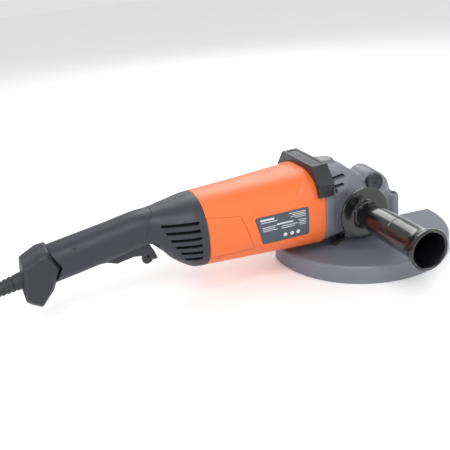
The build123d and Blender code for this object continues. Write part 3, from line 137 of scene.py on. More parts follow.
# ------------------------------------------------------------------------------------------ mesh tools
def new_mesh(
    name: str, verts: Iterable[Sequence[float]], faces: Iterable[Sequence[int]]
) -> bpy.types.Object:
    """Make a mesh object from corners in millimetres.

    Args:
        name: Name of the object.
        verts: Corners in the frame, in millimetres.
        faces: Corner numbers of each face.

    Returns:
        The new object, linked to the scene.
    """
    mesh = bpy.data.meshes.new(name)
    mesh.from_pydata((np.asarray(list(verts), float) * MM).tolist(), [], [list(f) for f in faces])
    piece = bpy.data.objects.new(name, mesh)
    bpy.context.scene.collection.objects.link(piece)
    return piece


def edit(piece: bpy.types.Object, work: Callable[[bmesh.types.BMesh], None]) -> None:
    """Run one bmesh job on a piece's mesh."""
    net = bmesh.new()
    net.from_mesh(piece.data)
    work(net)
    net.to_mesh(piece.data)
    net.free()


def settle(piece: bpy.types.Object, sharp_deg: float = 38.0) -> bpy.types.Object:
    """Point the faces outwards, shade them smooth and keep edges sharper than an angle crisp.

    Args:
        piece: The mesh object.
        sharp_deg: Edges that turn by more degrees than this stay sharp.

    Returns:
        The same object.
    """

    def work(net: bmesh.types.BMesh) -> None:
        """Weld the mesh, turn its faces outwards and mark its sharp edges."""
        bmesh.ops.remove_doubles(net, verts=net.verts, dist=1e-6)
        bmesh.ops.recalc_face_normals(net, faces=net.faces)
        for face in net.faces:
            face.smooth = True
        for edge in net.edges:
            if len(edge.link_faces) == 2:
                edge.smooth = edge.calc_face_angle(0.0) < math.radians(sharp_deg)

    edit(piece, work)
    return piece


def apply_modifiers(piece: bpy.types.Object) -> bpy.types.Object:
    """Turn a piece's modifiers into mesh."""
    graph = bpy.context.evaluated_depsgraph_get()
    graph.update()
    mesh = bpy.data.meshes.new_from_object(piece.evaluated_get(graph))
    piece.modifiers.clear()
    piece.data = mesh
    return piece


def round_edges(
    piece: bpy.types.Object, width: float, segments: int = 3, angle: float = 30.0
) -> bpy.types.Object:
    """Round a piece's edges.

    Args:
        piece: The mesh object.
        width: Size of the rounding in millimetres.
        segments: Steps across the rounding.
        angle: Only edges that turn by more degrees than this are rounded.

    Returns:
        The same object.
    """
    bevel = piece.modifiers.new("edges", "BEVEL")
    bevel.width = width * MM
    bevel.segments = segments
    bevel.limit_method = "ANGLE"
    bevel.angle_limit = math.radians(angle)
    bevel.harden_normals = False
    return apply_modifiers(piece)


def carve(piece: bpy.types.Object, cutters: Sequence[bpy.types.Object]) -> bpy.types.Object:
    """Cut other solids out of a piece and delete them.

    The faces keep the way they point, and a cutter whose faces point inwards cuts nothing.

    Args:
        piece: The mesh object that is cut.
        cutters: Solids to take away, used up by the cut.

    Returns:
        The piece.
    """
    cutter = join(list(cutters))
    cut = piece.modifiers.new("cut", "BOOLEAN")
    cut.operation = "DIFFERENCE"
    cut.solver = "EXACT"
    cut.object = cutter
    apply_modifiers(piece)
    bpy.data.objects.remove(cutter)
    return piece


def join(pieces: list[bpy.types.Object]) -> bpy.types.Object:
    """Put several meshes into the first one, as they are."""
    first, others = pieces[0], pieces[1:]
    net = bmesh.new()
    net.from_mesh(first.data)
    for other in others:
        net.from_mesh(other.data)
        bpy.data.objects.remove(other)
    net.to_mesh(first.data)
    net.free()
    return first


def skin(name: str, rings: Sequence[np.ndarray], closed: bool = True) -> bpy.types.Object:
    """Stretch a skin over a row of closed rings.

    Args:
        name: Name of the object.
        rings: Arrays of corners, all of the same length, in millimetres.
        closed: Whether the first and last ring are closed by a face.

    Returns:
        The mesh object.
    """
    count = len(rings[0])
    verts = np.concatenate(rings)
    faces = []
    for row in range(len(rings) - 1):
        here, above = row * count, (row + 1) * count
        for k in range(count):
            after = (k + 1) % count
            faces.append((here + k, here + after, above + after, above + k))
    if closed:
        faces.append(tuple(range(count))[::-1])
        faces.append(tuple(range((len(rings) - 1) * count, len(rings) * count)))
    return new_mesh(name, verts, faces)


def turn(
    name: str, profile: Sequence[Flat], origin: Point, axis: Point, steps: int = 96
) -> bpy.types.Object:
    """Turn a profile about an axis, as on a lathe.

    Args:
        name: Name of the object.
        profile: Closed outline as pairs of distance along the axis and radius.
        origin: Where distances along the axis start, in millimetres.
        axis: Direction of the axis.
        steps: Steps around the axis.

    Returns:
        The mesh object, closed.
    """
    along = Vector(axis).normalized()
    side = along.orthogonal().normalized()
    other = along.cross(side)
    base = Vector(origin)
    verts, faces = [], []
    for k in range(steps):
        angle = 2 * math.pi * k / steps
        outward = side * math.cos(angle) + other * math.sin(angle)
        verts += [tuple(base + along * a + outward * r) for a, r in profile]
    count = len(profile)
    for k in range(steps):
        after = (k + 1) % steps
        for i in range(count):
            nxt = (i + 1) % count
            faces.append((k * count + i, k * count + nxt, after * count + nxt, after * count + i))
    piece = new_mesh(name, verts, faces)
    edit(piece, lambda net: bmesh.ops.dissolve_degenerate(net, dist=1e-7, edges=net.edges))
    return piece


def rounded_path(corners: Sequence[Flat], radius: float, steps: int = 5) -> list[Flat]:
    """Round the corners of a closed outline.

    Args:
        corners: Corners of the outline.
        radius: Reach of each rounding along its two sides.
        steps: Points on each rounding.

    Returns:
        Points of the rounded outline.
    """
    points: list[Flat] = []
    count = len(corners)
    for k, corner in enumerate(corners):
        here = Vector(corner)
        before, after = Vector(corners[k - 1]), Vector(corners[(k + 1) % count])
        reach_in = min(radius, 0.45 * (before - here).length)
        reach_out = min(radius, 0.45 * (after - here).length)
        start = here + (before - here).normalized() * reach_in
        end = here + (after - here).normalized() * reach_out
        for i in range(steps + 1):
            t = i / steps
            spot = start * (1 - t) ** 2 + here * (2 * t * (1 - t)) + end * t**2
            points.append((spot.x, spot.y))
    return points


def slab(
    name: str, outline: Sequence[Flat], near: float, far: float, plane: str = "XZ"
) -> bpy.types.Object:
    """Make a flat-sided solid from an outline.

    Args:
        name: Name of the object.
        outline: Corners of the outline, in millimetres.
        near: Height of the first face above the outline's plane.
        far: Height of the second face.
        plane: The plane of the outline, XZ, YZ or XY.

    Returns:
        The mesh object.
    """
    place = {
        "XZ": lambda a, b, h: (a, h, b),
        "YZ": lambda a, b, h: (h, a, b),
        "XY": lambda a, b, h: (a, b, h),
    }[plane]
    rings = [np.array([place(a, b, h) for a, b in outline]) for h in (near, far)]
    return skin(name, rings)


def bar(
    name: str, start: Point, direction: Point, length: float, radius: float, edge: float = 0.4
) -> bpy.types.Object:
    """Make a round bar with softened ends.

    Args:
        name: Name of the object.
        start: Middle of its first end, in millimetres.
        direction: Direction of its axis.
        length: Length of the bar.
        radius: Radius of the bar.
        edge: Size of the chamfer at both ends.

    Returns:
        The mesh object.
    """
    edge = min(edge, radius * 0.5, length * 0.4)
    profile = [
        (0, 0),
        (0, radius - edge),
        (edge, radius),
        (length - edge, radius),
        (length, radius - edge),
        (length, 0),
    ]
    return turn(name, profile, start, direction, 48)


# ------------------------------------------------------------------------------------------ finishes
def linear(hex_colour: str) -> tuple[float, float, float, float]:
    """Turn an sRGB hex colour into linear values.

    Args:
        hex_colour: Colour such as #d95b25.

    Returns:
        Red, green, blue and alpha, linear.
    """
    values = [int(hex_colour.lstrip("#")[i : i + 2], 16) / 255 for i in (0, 2, 4)]
    return (*(v / 12.92 if v <= 0.04045 else ((v + 0.055) / 1.055) ** 2.4 for v in values), 1.0)


def add_node(
    tree: bpy.types.NodeTree, kind: str, inputs: dict | None = None, **settings: object
) -> bpy.types.Node:
    """Add one shader node.

    Args:
        tree: Node tree that gets the node.
        kind: Blender's name of the node type.
        inputs: Values or output sockets for the node's inputs, by input name or number.
        settings: Properties of the node itself.

    Returns:
        The new node.
    """
    node = tree.nodes.new(kind)
    for key, value in settings.items():
        setattr(node, key, value)
    for key, value in (inputs or {}).items():
        if isinstance(value, bpy.types.NodeSocket):
            tree.links.new(value, node.inputs[key])
        else:
            node.inputs[key].default_value = value
    return node


@dataclass(frozen=True)
class Finish:
    """A surface finish: what it is made of and how its surface was made.

    Attributes:
        name: Name of the material.
        colour: Main colour.
        second: Colour of the slow, faint variation, as handling and moulding give.
        roughness: Mean roughness.
        roughness_swing: How far the roughness wanders.
        metallic: 1 for bare metal.
        grain_mm: Size of the surface grain.
        grain_height_mm: Height of the grain.
        patch_mm: Size of the slow variation.
        coat: Clear coat, as on gloss mouldings.
        sheen: Dusty edge light of soft plastics.
        stretch: Stretch of the grain along X, Y and Z, for brushed and turned surfaces.
    """

    name: str
    colour: str
    second: str
    roughness: float
    roughness_swing: float = 0.06
    metallic: float = 0.0
    grain_mm: float = 0.9
    grain_height_mm: float = 0.02
    patch_mm: float = 38.0
    coat: float = 0.0
    sheen: float = 0.0
    stretch: Point = (1.0, 1.0, 1.0)

    def material(self) -> bpy.types.Material:
        """Build the material, or return it if it exists."""
        found = bpy.data.materials.get(self.name)
        if found:
            return found
        made = bpy.data.materials.new(self.name)
        made.use_nodes = True
        tree = made.node_tree
        tree.nodes.clear()
        place = add_node(tree, "ShaderNodeTexCoord").outputs["Object"]
        colour, rough, bump = self.surface(tree, place)
        shader = add_node(
            tree,
            "ShaderNodeBsdfPrincipled",
            {
                "Base Color": colour,
                "Roughness": rough,
                "Normal": bump,
                "Metallic": self.metallic,
                "Coat Weight": self.coat,
                "Coat Roughness": 0.08,
                "Sheen Weight": self.sheen,
                "Sheen Roughness": 0.5,
            },
        )
        add_node(tree, "ShaderNodeOutputMaterial", {"Surface": shader.outputs[0]})
        return made

    def surface(
        self, tree: bpy.types.NodeTree, place: bpy.types.NodeSocket
    ) -> tuple[bpy.types.NodeSocket, bpy.types.NodeSocket, bpy.types.NodeSocket]:
        """Make the colour, roughness and bump of the finish.

        Args:
            tree: Node tree of the material.
            place: Coordinates in metres.

        Returns:
            Output sockets of the colour, the roughness and the normal.
        """
        slow = add_node(
            tree,
            "ShaderNodeTexNoise",
            {"Vector": place, "Scale": 1 / (self.patch_mm * MM), "Detail": 3.0},
        ).outputs["Fac"]
        stretched = add_node(tree, "ShaderNodeVectorMath", {0: place, 1: self.stretch}, operation="MULTIPLY")
        fine = add_node(
            tree,
            "ShaderNodeTexNoise",
            {
                "Vector": stretched.outputs[0],
                "Scale": 1 / (self.grain_mm * MM),
                "Detail": 4.0,
                "Roughness": 0.6,
            },
        ).outputs["Fac"]
        colour = add_node(
            tree,
            "ShaderNodeMix",
            {"Factor": slow, 6: linear(self.colour), 7: linear(self.second)},
            data_type="RGBA",
        ).outputs[2]
        both = add_node(tree, "ShaderNodeMath", {0: slow, 1: fine}, operation="ADD").outputs[0]
        rough = add_node(
            tree,
            "ShaderNodeMapRange",
            {
                "Value": both,
                "From Min": 0.6,
                "From Max": 1.4,
                "To Min": self.roughness - self.roughness_swing,
                "To Max": self.roughness + self.roughness_swing,
            },
        ).outputs[0]
        bump = add_node(
            tree, "ShaderNodeBump", {"Height": fine, "Strength": 0.6, "Distance": self.grain_height_mm * MM}
        ).outputs[0]
        return colour, rough, bump


class Finishes(Enum):
    """Every finish of the tool, each named for its stuff and how its surface was made."""

    # Glass-filled nylon, coloured in the mass and moulded against a spark-eroded tool: satin, soft highlight
    ORANGE_NYLON = Finish("orange_nylon", "#e06a2c", "#d9632a", 0.42, grain_mm=0.8, grain_height_mm=0.015)
    # The same nylon in blue-black, a touch rougher, so that the light breaks up softly along the grip
    BLACK_NYLON = Finish("black_nylon", "#262932", "#22252d", 0.5, grain_mm=0.9, grain_height_mm=0.03)
    # Tail cap and bumper: harder black moulding with a deeper colour
    CAP_NYLON = Finish("cap_nylon", "#202229", "#1c1e24", 0.46, grain_mm=0.9, grain_height_mm=0.02)
    # Die-cast magnesium with grey enamel: cast skin shows as a slow unevenness under the paint
    CAST_ENAMEL = Finish(
        "cast_enamel", "#71747b", "#66696f", 0.43, grain_mm=1.6, grain_height_mm=0.05, patch_mm=18.0
    )
    # Deep-drawn sheet steel, powder coated: slightly orange-peeled
    POWDER_COAT = Finish(
        "powder_coat", "#6f727b", "#686b74", 0.36, grain_mm=1.4, grain_height_mm=0.03, patch_mm=30.0
    )
    # Polished black polyamide of the side handle: near-mirror highlights under a thin gloss
    GLOSS_BLACK = Finish(
        "gloss_black", "#0d0e11", "#0b0b0e", 0.2, 0.04, grain_mm=2.5, grain_height_mm=0.01, coat=0.35
    )
    # Printed polyester film, blank: flat slate grey with a faint sheen
    LABEL_FILM = Finish("label_film", "#414853", "#3d444f", 0.38, 0.03, grain_mm=0.5, grain_height_mm=0.004)
    # Light grey print of the label film, as blank bars
    LABEL_PRINT = Finish(
        "label_print", "#c9ced4", "#b9bec5", 0.45, 0.03, grain_mm=0.5, grain_height_mm=0.004
    )
    # Turned and ground steel, bare and oiled
    TURNED_STEEL = Finish(
        "turned_steel",
        "#b9babd",
        "#a7a8ab",
        0.28,
        0.08,
        1.0,
        grain_mm=0.35,
        grain_height_mm=0.006,
        stretch=(1, 1, 12),
    )
    # Blackened steel of screws and the clamp lever
    BLACK_STEEL = Finish(
        "black_steel", "#2a2b2e", "#222326", 0.38, 0.06, 0.9, grain_mm=0.7, grain_height_mm=0.01
    )
    # Yellow brass, turned
    BRASS = Finish("brass", "#c9a24a", "#b8923f", 0.26, 0.05, 1.0, grain_mm=0.4, grain_height_mm=0.005)
    # Enamelled copper wire, wound and varnished
    COPPER_WIRE = Finish(
        "copper_wire",
        "#b3622f",
        "#8f4a22",
        0.35,
        0.08,
        0.9,
        grain_mm=0.9,
        grain_height_mm=0.12,
        stretch=(1, 4, 4),
    )
    # Stacked silicon-steel sheets, seen edge-on
    LAMINATIONS = Finish(
        "laminations",
        "#7c7e82",
        "#696b6f",
        0.45,
        0.08,
        0.9,
        grain_mm=0.5,
        grain_height_mm=0.05,
        stretch=(6, 1, 1),
    )
    # Pressed carbon with copper dust
    CARBON = Finish("carbon", "#26262a", "#1d1d20", 0.6, grain_mm=0.6, grain_height_mm=0.03)
    # Rubber sheath of the cord and its sleeve: matt, dusty at grazing light
    RUBBER = Finish("rubber", "#1d1f25", "#191b20", 0.56, grain_mm=0.8, grain_height_mm=0.03, sheen=0.12)
    # Hook-and-loop strap of black nylon: matt, fuzzy at its edges
    STRAP = Finish("strap", "#17181b", "#101114", 0.85, grain_mm=0.9, grain_height_mm=0.12, sheen=0.3)
    # Near-black and matt: painted shade for the dark inside of the air slots, on a sheet set behind them
    SHADOW_BLACK = Finish("shadow_black", "#0b0b0d", "#08080a", 0.8, grain_mm=1.0, grain_height_mm=0.02)


def dress(piece: bpy.types.Object, finish: Finishes) -> bpy.types.Object:
    """Give a piece one finish."""
    piece.data.materials.clear()
    piece.data.materials.append(finish.value.material())
    return piece


def place_piece(
    piece: bpy.types.Object, body: str, finish: Finishes, replaced: Sequence[str] = ()
) -> bpy.types.Object:
    """Dress a finished piece and hang it on its CAD body.

    Args:
        piece: The mesh object.
        body: CAD body that carries it.
        finish: Its finish.
        replaced: CAD nodes that it stands for.

    Returns:
        The same object.
    """
    dress(piece, finish)
    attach(piece, body)
    if replaced:
        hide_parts(*replaced)
    LOG.info("%s: %d faces on %s", piece.name, len(piece.data.polygons), body)
    return piece


# ------------------------------------------------------------------------------------------ skins
@dataclass(frozen=True)
class Station:
    """One cross-section of a body that runs along X.

    Attributes:
        x: Place of the section.
        half_y: Half width.
        half_z: Half height.
        centre_z: Height of the middle.
        power: Exponent of the super-ellipse; 2 is an ellipse and larger is squarer.
    """

    x: float
    half_y: float
    half_z: float
    centre_z: float
    power: float


@dataclass(frozen=True)
class LongBody:
    """Smooth tapered body through a row of stations.

    Attributes:
        stations: Sections from the rear to the front.
    """

    stations: tuple[Station, ...]

    def values(self, x: np.ndarray) -> tuple[np.ndarray, ...]:
        """Half width, half height, middle and exponent at each x, through a smooth monotone curve."""
        xs = np.array([s.x for s in self.stations])
        result = []
        for field_name in ("half_y", "half_z", "centre_z", "power"):
            ys = np.array([getattr(s, field_name) for s in self.stations])
            gap = np.diff(xs)
            slope = np.diff(ys) / gap
            tangent = np.zeros(len(xs))
            tangent[0], tangent[-1] = slope[0], slope[-1]
            same = slope[:-1] * slope[1:] > 0
            weight_a, weight_b = 2 * gap[1:] + gap[:-1], gap[1:] + 2 * gap[:-1]
            safe_a = np.where(same, slope[:-1], 1.0)
            safe_b = np.where(same, slope[1:], 1.0)
            mean_slope = (weight_a + weight_b) / (weight_a / safe_a + weight_b / safe_b)
            tangent[1:-1] = np.where(same, mean_slope, 0.0)
            k = np.clip(np.searchsorted(xs, x, side="right") - 1, 0, len(xs) - 2)
            t = np.clip((x - xs[k]) / gap[k], 0.0, 1.0)
            result.append(
                (2 * t**3 - 3 * t**2 + 1) * ys[k]
                + (t**3 - 2 * t**2 + t) * gap[k] * tangent[k]
                + (3 * t**2 - 2 * t**3) * ys[k + 1]
                + (t**3 - t**2) * gap[k] * tangent[k + 1]
            )
        return tuple(result)

    def side_y(self, x: float, z: float) -> float:
        """Half width of the skin at a height z."""
        half_y, half_z, centre, power = (float(v[0]) for v in self.values(np.array([x])))
        share = min(abs(z - centre) / half_z, 1.0)
        return half_y * (1.0 - share**power) ** (1.0 / power)

    def rings(
        self,
        xs: np.ndarray,
        grow: float = 0.0,
        relief: Callable[[np.ndarray, np.ndarray, np.ndarray], np.ndarray] | None = None,
        around: int = 240,
    ) -> list[np.ndarray]:
        """Sections of the skin, moved out along its normal.

        Args:
            xs: Places of the sections.
            grow: How far the skin is moved out everywhere.
            relief: Gives the extra height at arrays of x, y and z.
            around: Corners of each section.

        Returns:
            One array of corners for each section.
        """
        angle = 2 * np.pi * np.arange(around) / around
        # Corners bunch where the section bends, so the spacing is evened out by arc length
        half_y, half_z, centre, power = self.values(np.asarray(xs, float))
        result = []
        for x, wide, high, middle, n in zip(xs, half_y, half_z, centre, power):
            fine = 2 * np.pi * np.arange(4 * around + 1) / (4 * around)
            y = wide * np.sign(np.cos(fine)) * np.abs(np.cos(fine)) ** (2 / n)
            z = high * np.sign(np.sin(fine)) * np.abs(np.sin(fine)) ** (2 / n)
            reach = np.concatenate([[0], np.cumsum(np.hypot(np.diff(y), np.diff(z)))])
            even = angle / (2 * np.pi) * reach[-1]
            y, z = np.interp(even, reach, y), np.interp(even, reach, z)
            out_y = np.sign(y) * np.abs(y / wide) ** (n - 1) / wide
            out_z = np.sign(z) * np.abs(z / high) ** (n - 1) / high
            size = np.hypot(out_y, out_z)
            out_y, out_z = out_y / size, out_z / size
            z = z + middle
            move = np.full(around, grow)
            if relief is not None:
                move = move + relief(np.full(around, x), y, z)
            result.append(np.column_stack([np.full(around, x), y + out_y * move, z + out_z * move]))
        return result


def hollow(name: str, outer: list[np.ndarray], inner: list[np.ndarray]) -> bpy.types.Object:
    """Closed shell between an outer and an inner row of rings, with flat rims at both ends.

    Args:
        name: Name of the object.
        outer: Rings of the outer face.
        inner: Rings of the inner face, in the same order.

    Returns:
        The mesh object.
    """
    piece = skin(name, outer + inner[::-1] + [outer[0]], closed=False)
    edit(piece, lambda net: bmesh.ops.remove_doubles(net, verts=net.verts, dist=1e-7))
    return piece


# ------------------------------------------------------------------------------------------ camera and light
@dataclass(frozen=True)
class Softbox:
    """Soft square lamp.

    Attributes:
        name: Name of the lamp.
        place: Where it hangs, in millimetres.
        target: What it looks at.
        size: Side of the square.
        power: Light output in watts.
    """

    name: str
    place: Point
    target: Point
    size: float
    power: float

    def hang(self) -> None:
        """Add the lamp to the scene."""
        light = bpy.data.lights.new(self.name, "AREA")
        light.size = self.size * MM
        light.energy = self.power
        lamp = bpy.data.objects.new(self.name, light)
        lamp.location = Vector(self.place) * MM
        aim = Vector(self.target) - Vector(self.place)
        lamp.rotation_euler = aim.to_track_quat("-Z", "Y").to_euler()
        bpy.context.scene.collection.objects.link(lamp)


@dataclass
class Studio:
    """Pale room: camera, floor and soft lights.

    Attributes:
        eye: Camera place in millimetres.
        ahead: Viewing direction.
        upward: Direction of the top of the view.
        lens: Focal length on the sensor.
        sensor: Width of the sensor.
        clip_start: Nearest distance that the camera sees, in metres.
        floor_z: Height of the floor.
        floor_half: Half the side of the floor.
        room_light: Strength of the light from all around.
        lamps: The softboxes.
    """

    eye: Point = (-483.84, -755.14, 411.23)
    ahead: Point = (0.32555, 0.85835, -0.39656)
    upward: Point = (0.22741, 0.33601, 0.91399)
    lens: float = 55.48
    sensor: float = 36.0
    clip_start: float = 0.01
    floor_z: float = -14.05
    floor_half: float = 4000.0
    room_light: float = 0.75
    lamps: tuple[Softbox, ...] = (
        Softbox("key", (-650, -900, 1250), (-150, 0, 40), 900, 13.0),
        Softbox("fill", (700, -1100, 500), (-50, -40, 40), 800, 4.5),
        Softbox("back", (250, 1100, 1000), (-150, 0, 60), 900, 9.0),
        Softbox("left", (-1400, 100, 500), (-350, 0, 60), 700, 3.5),
    )

    def build(self) -> None:
        """Set up camera, floor, lamps and the room's own light."""
        scene = bpy.context.scene
        camera = bpy.data.objects.new("camera", bpy.data.cameras.new("camera"))
        ahead, upward = Vector(self.ahead).normalized(), Vector(self.upward).normalized()
        right = ahead.cross(upward)
        turned = Matrix((right, right.cross(ahead), -ahead)).transposed().to_4x4()
        camera.matrix_world = Matrix.Translation(Vector(self.eye) * MM) @ turned
        camera.data.lens = self.lens
        camera.data.sensor_width = self.sensor
        camera.data.clip_start = self.clip_start
        scene.collection.objects.link(camera)
        scene.camera = camera
        scene.view_settings.view_transform = "Standard"
        self.floor()
        for lamp in self.lamps:
            lamp.hang()
        world = bpy.data.worlds.new("room")
        world.use_nodes = True
        shade = world.node_tree.nodes["Background"]
        shade.inputs["Color"].default_value = linear("#ffffff")
        shade.inputs["Strength"].default_value = self.room_light
        scene.world = world

    def floor(self) -> None:
        """Large matt sheet with a faint paper grain."""
        wide = self.floor_half
        corners = [(-wide, -wide), (wide, -wide), (wide, wide), (-wide, wide)]
        sheet = new_mesh("floor", [(x, y, self.floor_z) for x, y in corners], [(0, 1, 2, 3)])
        paper = Finish("studio_paper", "#fbfbfb", "#f8f8f9", 0.85, 0.03, grain_mm=3.0, grain_height_mm=0.02)
        sheet.data.materials.append(paper.material())


# ------------------------------------------------------------------------------------------ cord
@dataclass
class Cord:
    """Mains cord: straight out of the sleeve, down to the bench, and the spare length wound into a coil.

    Attributes:
        diameter: Outside diameter of the sheath.
        length: Real length of the whole cord; not used.
        exit: Where it leaves the sleeve.
        route: Corners of the run from the sleeve to the coil.
        coil_x: Middle of the coil.
        coil_y: Middle of the coil.
        radii: Radii of the outer, middle and inner turns.
        levels: Heights of the four layers.
        winding: Order of the turns as pairs of radius number and layer number.
        plug_x: Where the cord enters the plug.
        plug_z: Height of the plug's axis.
        points_per_turn: Control points of one turn of the coil.
        tie_half: Half width of the strap around the coil.
        tie_bearing_deg: Where the strap sits on the coil, in degrees from X.
        plug_ribs: Number of ribs on the plug's grip.
    """

    diameter: float = 9.4
    length: float = 4000.0
    exit: Point = (-514.4, 0.0, 45.0)
    route: tuple[Point, ...] = (
        (-543.0, 0.0, 39.6),
        (-571.0, 0.8, 24.5),
        (-602.0, 0.2, 6.5),
        (-634.2, 0.9, -6.0),
        (-656.7, 10.0, -9.3),
        (-674.0, 27.3, -9.3),
        (-683.3, 49.8, -9.3),
        (-683.3, 72.0, -9.3),
    )
    coil_x: float = -620.0
    coil_y: float = 108.0
    radii: Point = (63.3, 53.2, 43.6)
    levels: tuple[float, ...] = (-9.3, 0.1, 9.5, 18.9)
    winding: tuple[tuple[int, int], ...] = (
        (0, 0),
        (1, 0),
        (2, 0),
        (2, 1),
        (1, 1),
        (1, 2),
        (2, 2),
        (2, 3),
        (1, 3),
        (0, 3),
        (0, 2),
    )
    plug_x: float = -560.0
    plug_z: float = 3.0
    points_per_turn: int = 14
    tie_half: float = 8.0
    tie_bearing_deg: float = -40.0
    plug_ribs: int = 4

    def coil_points(self) -> list[Point]:
        """Control points of the coil's turns, clockwise seen from above, from the left side on."""
        stretch = 1.0 / (0.75 + 0.25 * math.cos(2 * math.pi / self.points_per_turn))
        places = list(self.winding) + [(0, 1)]
        quarter = self.points_per_turn // 4
        points = []
        for k in range(1, len(self.winding) * self.points_per_turn + quarter):
            turn_number = k / self.points_per_turn
            now = min(int(turn_number), len(places) - 1)
            after = min(now + 1, len(places) - 1)
            # each turn keeps its place and crosses to the next one over its last quarter
            share = max(0.0, (turn_number - now - 0.75) / 0.25)
            share = share * share * (3 - 2 * share)
            radius = self.radii[places[now][0]] * (1 - share) + self.radii[places[after][0]] * share
            height = self.levels[places[now][1]] * (1 - share) + self.levels[places[after][1]] * share
            angle = math.pi - 2 * math.pi * turn_number
            reach = radius * stretch
            points.append(
                (self.coil_x + reach * math.cos(angle), self.coil_y + reach * math.sin(angle), height)
            )
        return points

    def build(self) -> None:
        """Lay the cord, its tie and the plug."""
        leave_y = self.coil_y + self.radii[0]
        tail = [(self.coil_x + 14, leave_y, self.levels[1]), (self.plug_x - 18, leave_y, self.plug_z)]
        end = (self.plug_x + 4, leave_y, self.plug_z)
        points = [self.exit, *self.route, *self.coil_points(), *tail, end]
        curve = bpy.data.curves.new("power_cord", "CURVE")
        curve.dimensions = "3D"
        spline = curve.splines.new("NURBS")
        spline.points.add(len(points) - 1)
        for spot, place in zip(spline.points, points):
            spot.co = (*(Vector(place) * MM), 1.0)
        spline.order_u = 3
        spline.use_endpoint_u = True
        spline.resolution_u = 6
        curve.bevel_depth = self.diameter / 2 * MM
        curve.bevel_resolution = 5
        curve.use_fill_caps = True
        cord = bpy.data.objects.new("mains_cord", curve)
        bpy.context.scene.collection.objects.link(cord)
        cord.data.materials.append(Finishes.RUBBER.value.material())
        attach(cord, "root")
        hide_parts("power_cord", "cord_coil")
        plug = self.plug(leave_y)
        tie = self.tie()

    def plug(self, y: float) -> bpy.types.Object:
        """Moulded two-pin plug with a ribbed grip."""
        box = extent("plug_body")
        radius = (box.high.z - box.low.z) / 2 - 0.6
        start, end = box.low.x, box.high.x
        run = end - start
        cord_r = self.diameter / 2
        profile: list[Flat] = [(0.0, 0.0), (0.0, cord_r + 1.6), (1.0, cord_r + 2.2)]
        for k in range(self.plug_ribs):
            at = 2.5 + 3.2 * k
            swell = cord_r + 2.4 + 1.6 * k
            profile += [(at, swell), (at + 1.6, swell + 0.8), (at + 2.2, swell + 0.1)]
        profile += [(run * 0.52, radius - 1.2), (run * 0.6, radius), (run - 1.5, radius)]
        profile += [(run, radius - 1.5), (run, 0)]
        plug = turn("mains_plug", profile, (start, y, self.plug_z), (1, 0, 0), 64)
        settle(plug, 45)
        return place_piece(plug, "root", Finishes.RUBBER, ["plug_body"])

    def tie(self) -> bpy.types.Object:
        """Woven strap around the coil's turns."""
        low_r, high_r = self.radii[2] - 5.6, self.radii[0] + 5.6
        low_z, high_z = self.levels[0] - 4.7, self.levels[3] + 5.6
        section = [(low_r, low_z), (high_r, low_z), (high_r, high_z), (low_r, high_z)]
        section = rounded_path(section, 6.0, 6)
        mid_r, mid_z = (low_r + high_r) / 2, (low_z + high_z) / 2
        inner = [(mid_r + (r - mid_r) * 0.955, mid_z + (z - mid_z) * 0.95) for r, z in section]
        angle = math.radians(self.tie_bearing_deg)
        near, far = -self.tie_half, self.tie_half
        rings = []
        for half, loop in ((near, section), (far, section), (far, inner), (near, inner), (near, section)):
            ring = []
            for r, z in loop:
                x = r * math.cos(angle) - half * math.sin(angle)
                y = r * math.sin(angle) + half * math.cos(angle)
                ring.append((self.coil_x + x, self.coil_y + y, z))
            rings.append(np.array(ring))
        strap = skin("coil_tie", rings, closed=False)
        settle(strap, 50)
        return place_piece(strap, "root", Finishes.STRAP)


@dataclass
class CordSleeve:
    """Tapered bend relief with ring grooves, around the cord where it leaves the handle.

    Attributes:
        root_r: Radius at the tail cap.
        tip_r: Radius at the free end.
        length: Length outside the cap.
        rings: Number of grooves.
        start: Where it leaves the tail cap.
        slope_deg: Slope of its axis; below zero it falls towards the rear.
    """

    root_r: float = 10.0
    tip_r: float = 6.5
    length: float = 62.0
    rings: int = 8
    start: Point = (-453.5, 0.0, 56.4)
    slope_deg: float = -10.6

    def build(self) -> None:
        """Turn the sleeve's profile about the cord's line."""
        slope = math.radians(self.slope_deg)
        along = (-math.cos(slope), 0.0, math.sin(slope))
        bore = 4.75
        profile: list[Flat] = [(-5.0, bore), (-5.0, self.root_r), (2.0, self.root_r)]
        profile.append((3.0, self.root_r - 0.3))
        pitch = (self.length - 16.0) / self.rings
        for k in range(self.rings):
            at = 8.0 + pitch * k
            share = at / self.length
            radius = self.root_r + (self.tip_r - self.root_r) * share
            profile += [(at, radius), (at + 0.5, radius - 0.9)]
            profile += [(at + 2.0, radius - 0.9), (at + 2.5, radius - 0.1)]
        profile += [(self.length - 1.0, self.tip_r), (self.length, self.tip_r - 0.8), (self.length, bore)]
        sleeve = turn("cord_sleeve", profile, self.start, along, 64)
        settle(sleeve, 35)
        place_piece(sleeve, "root", Finishes.RUBBER, ["strain_relief"])


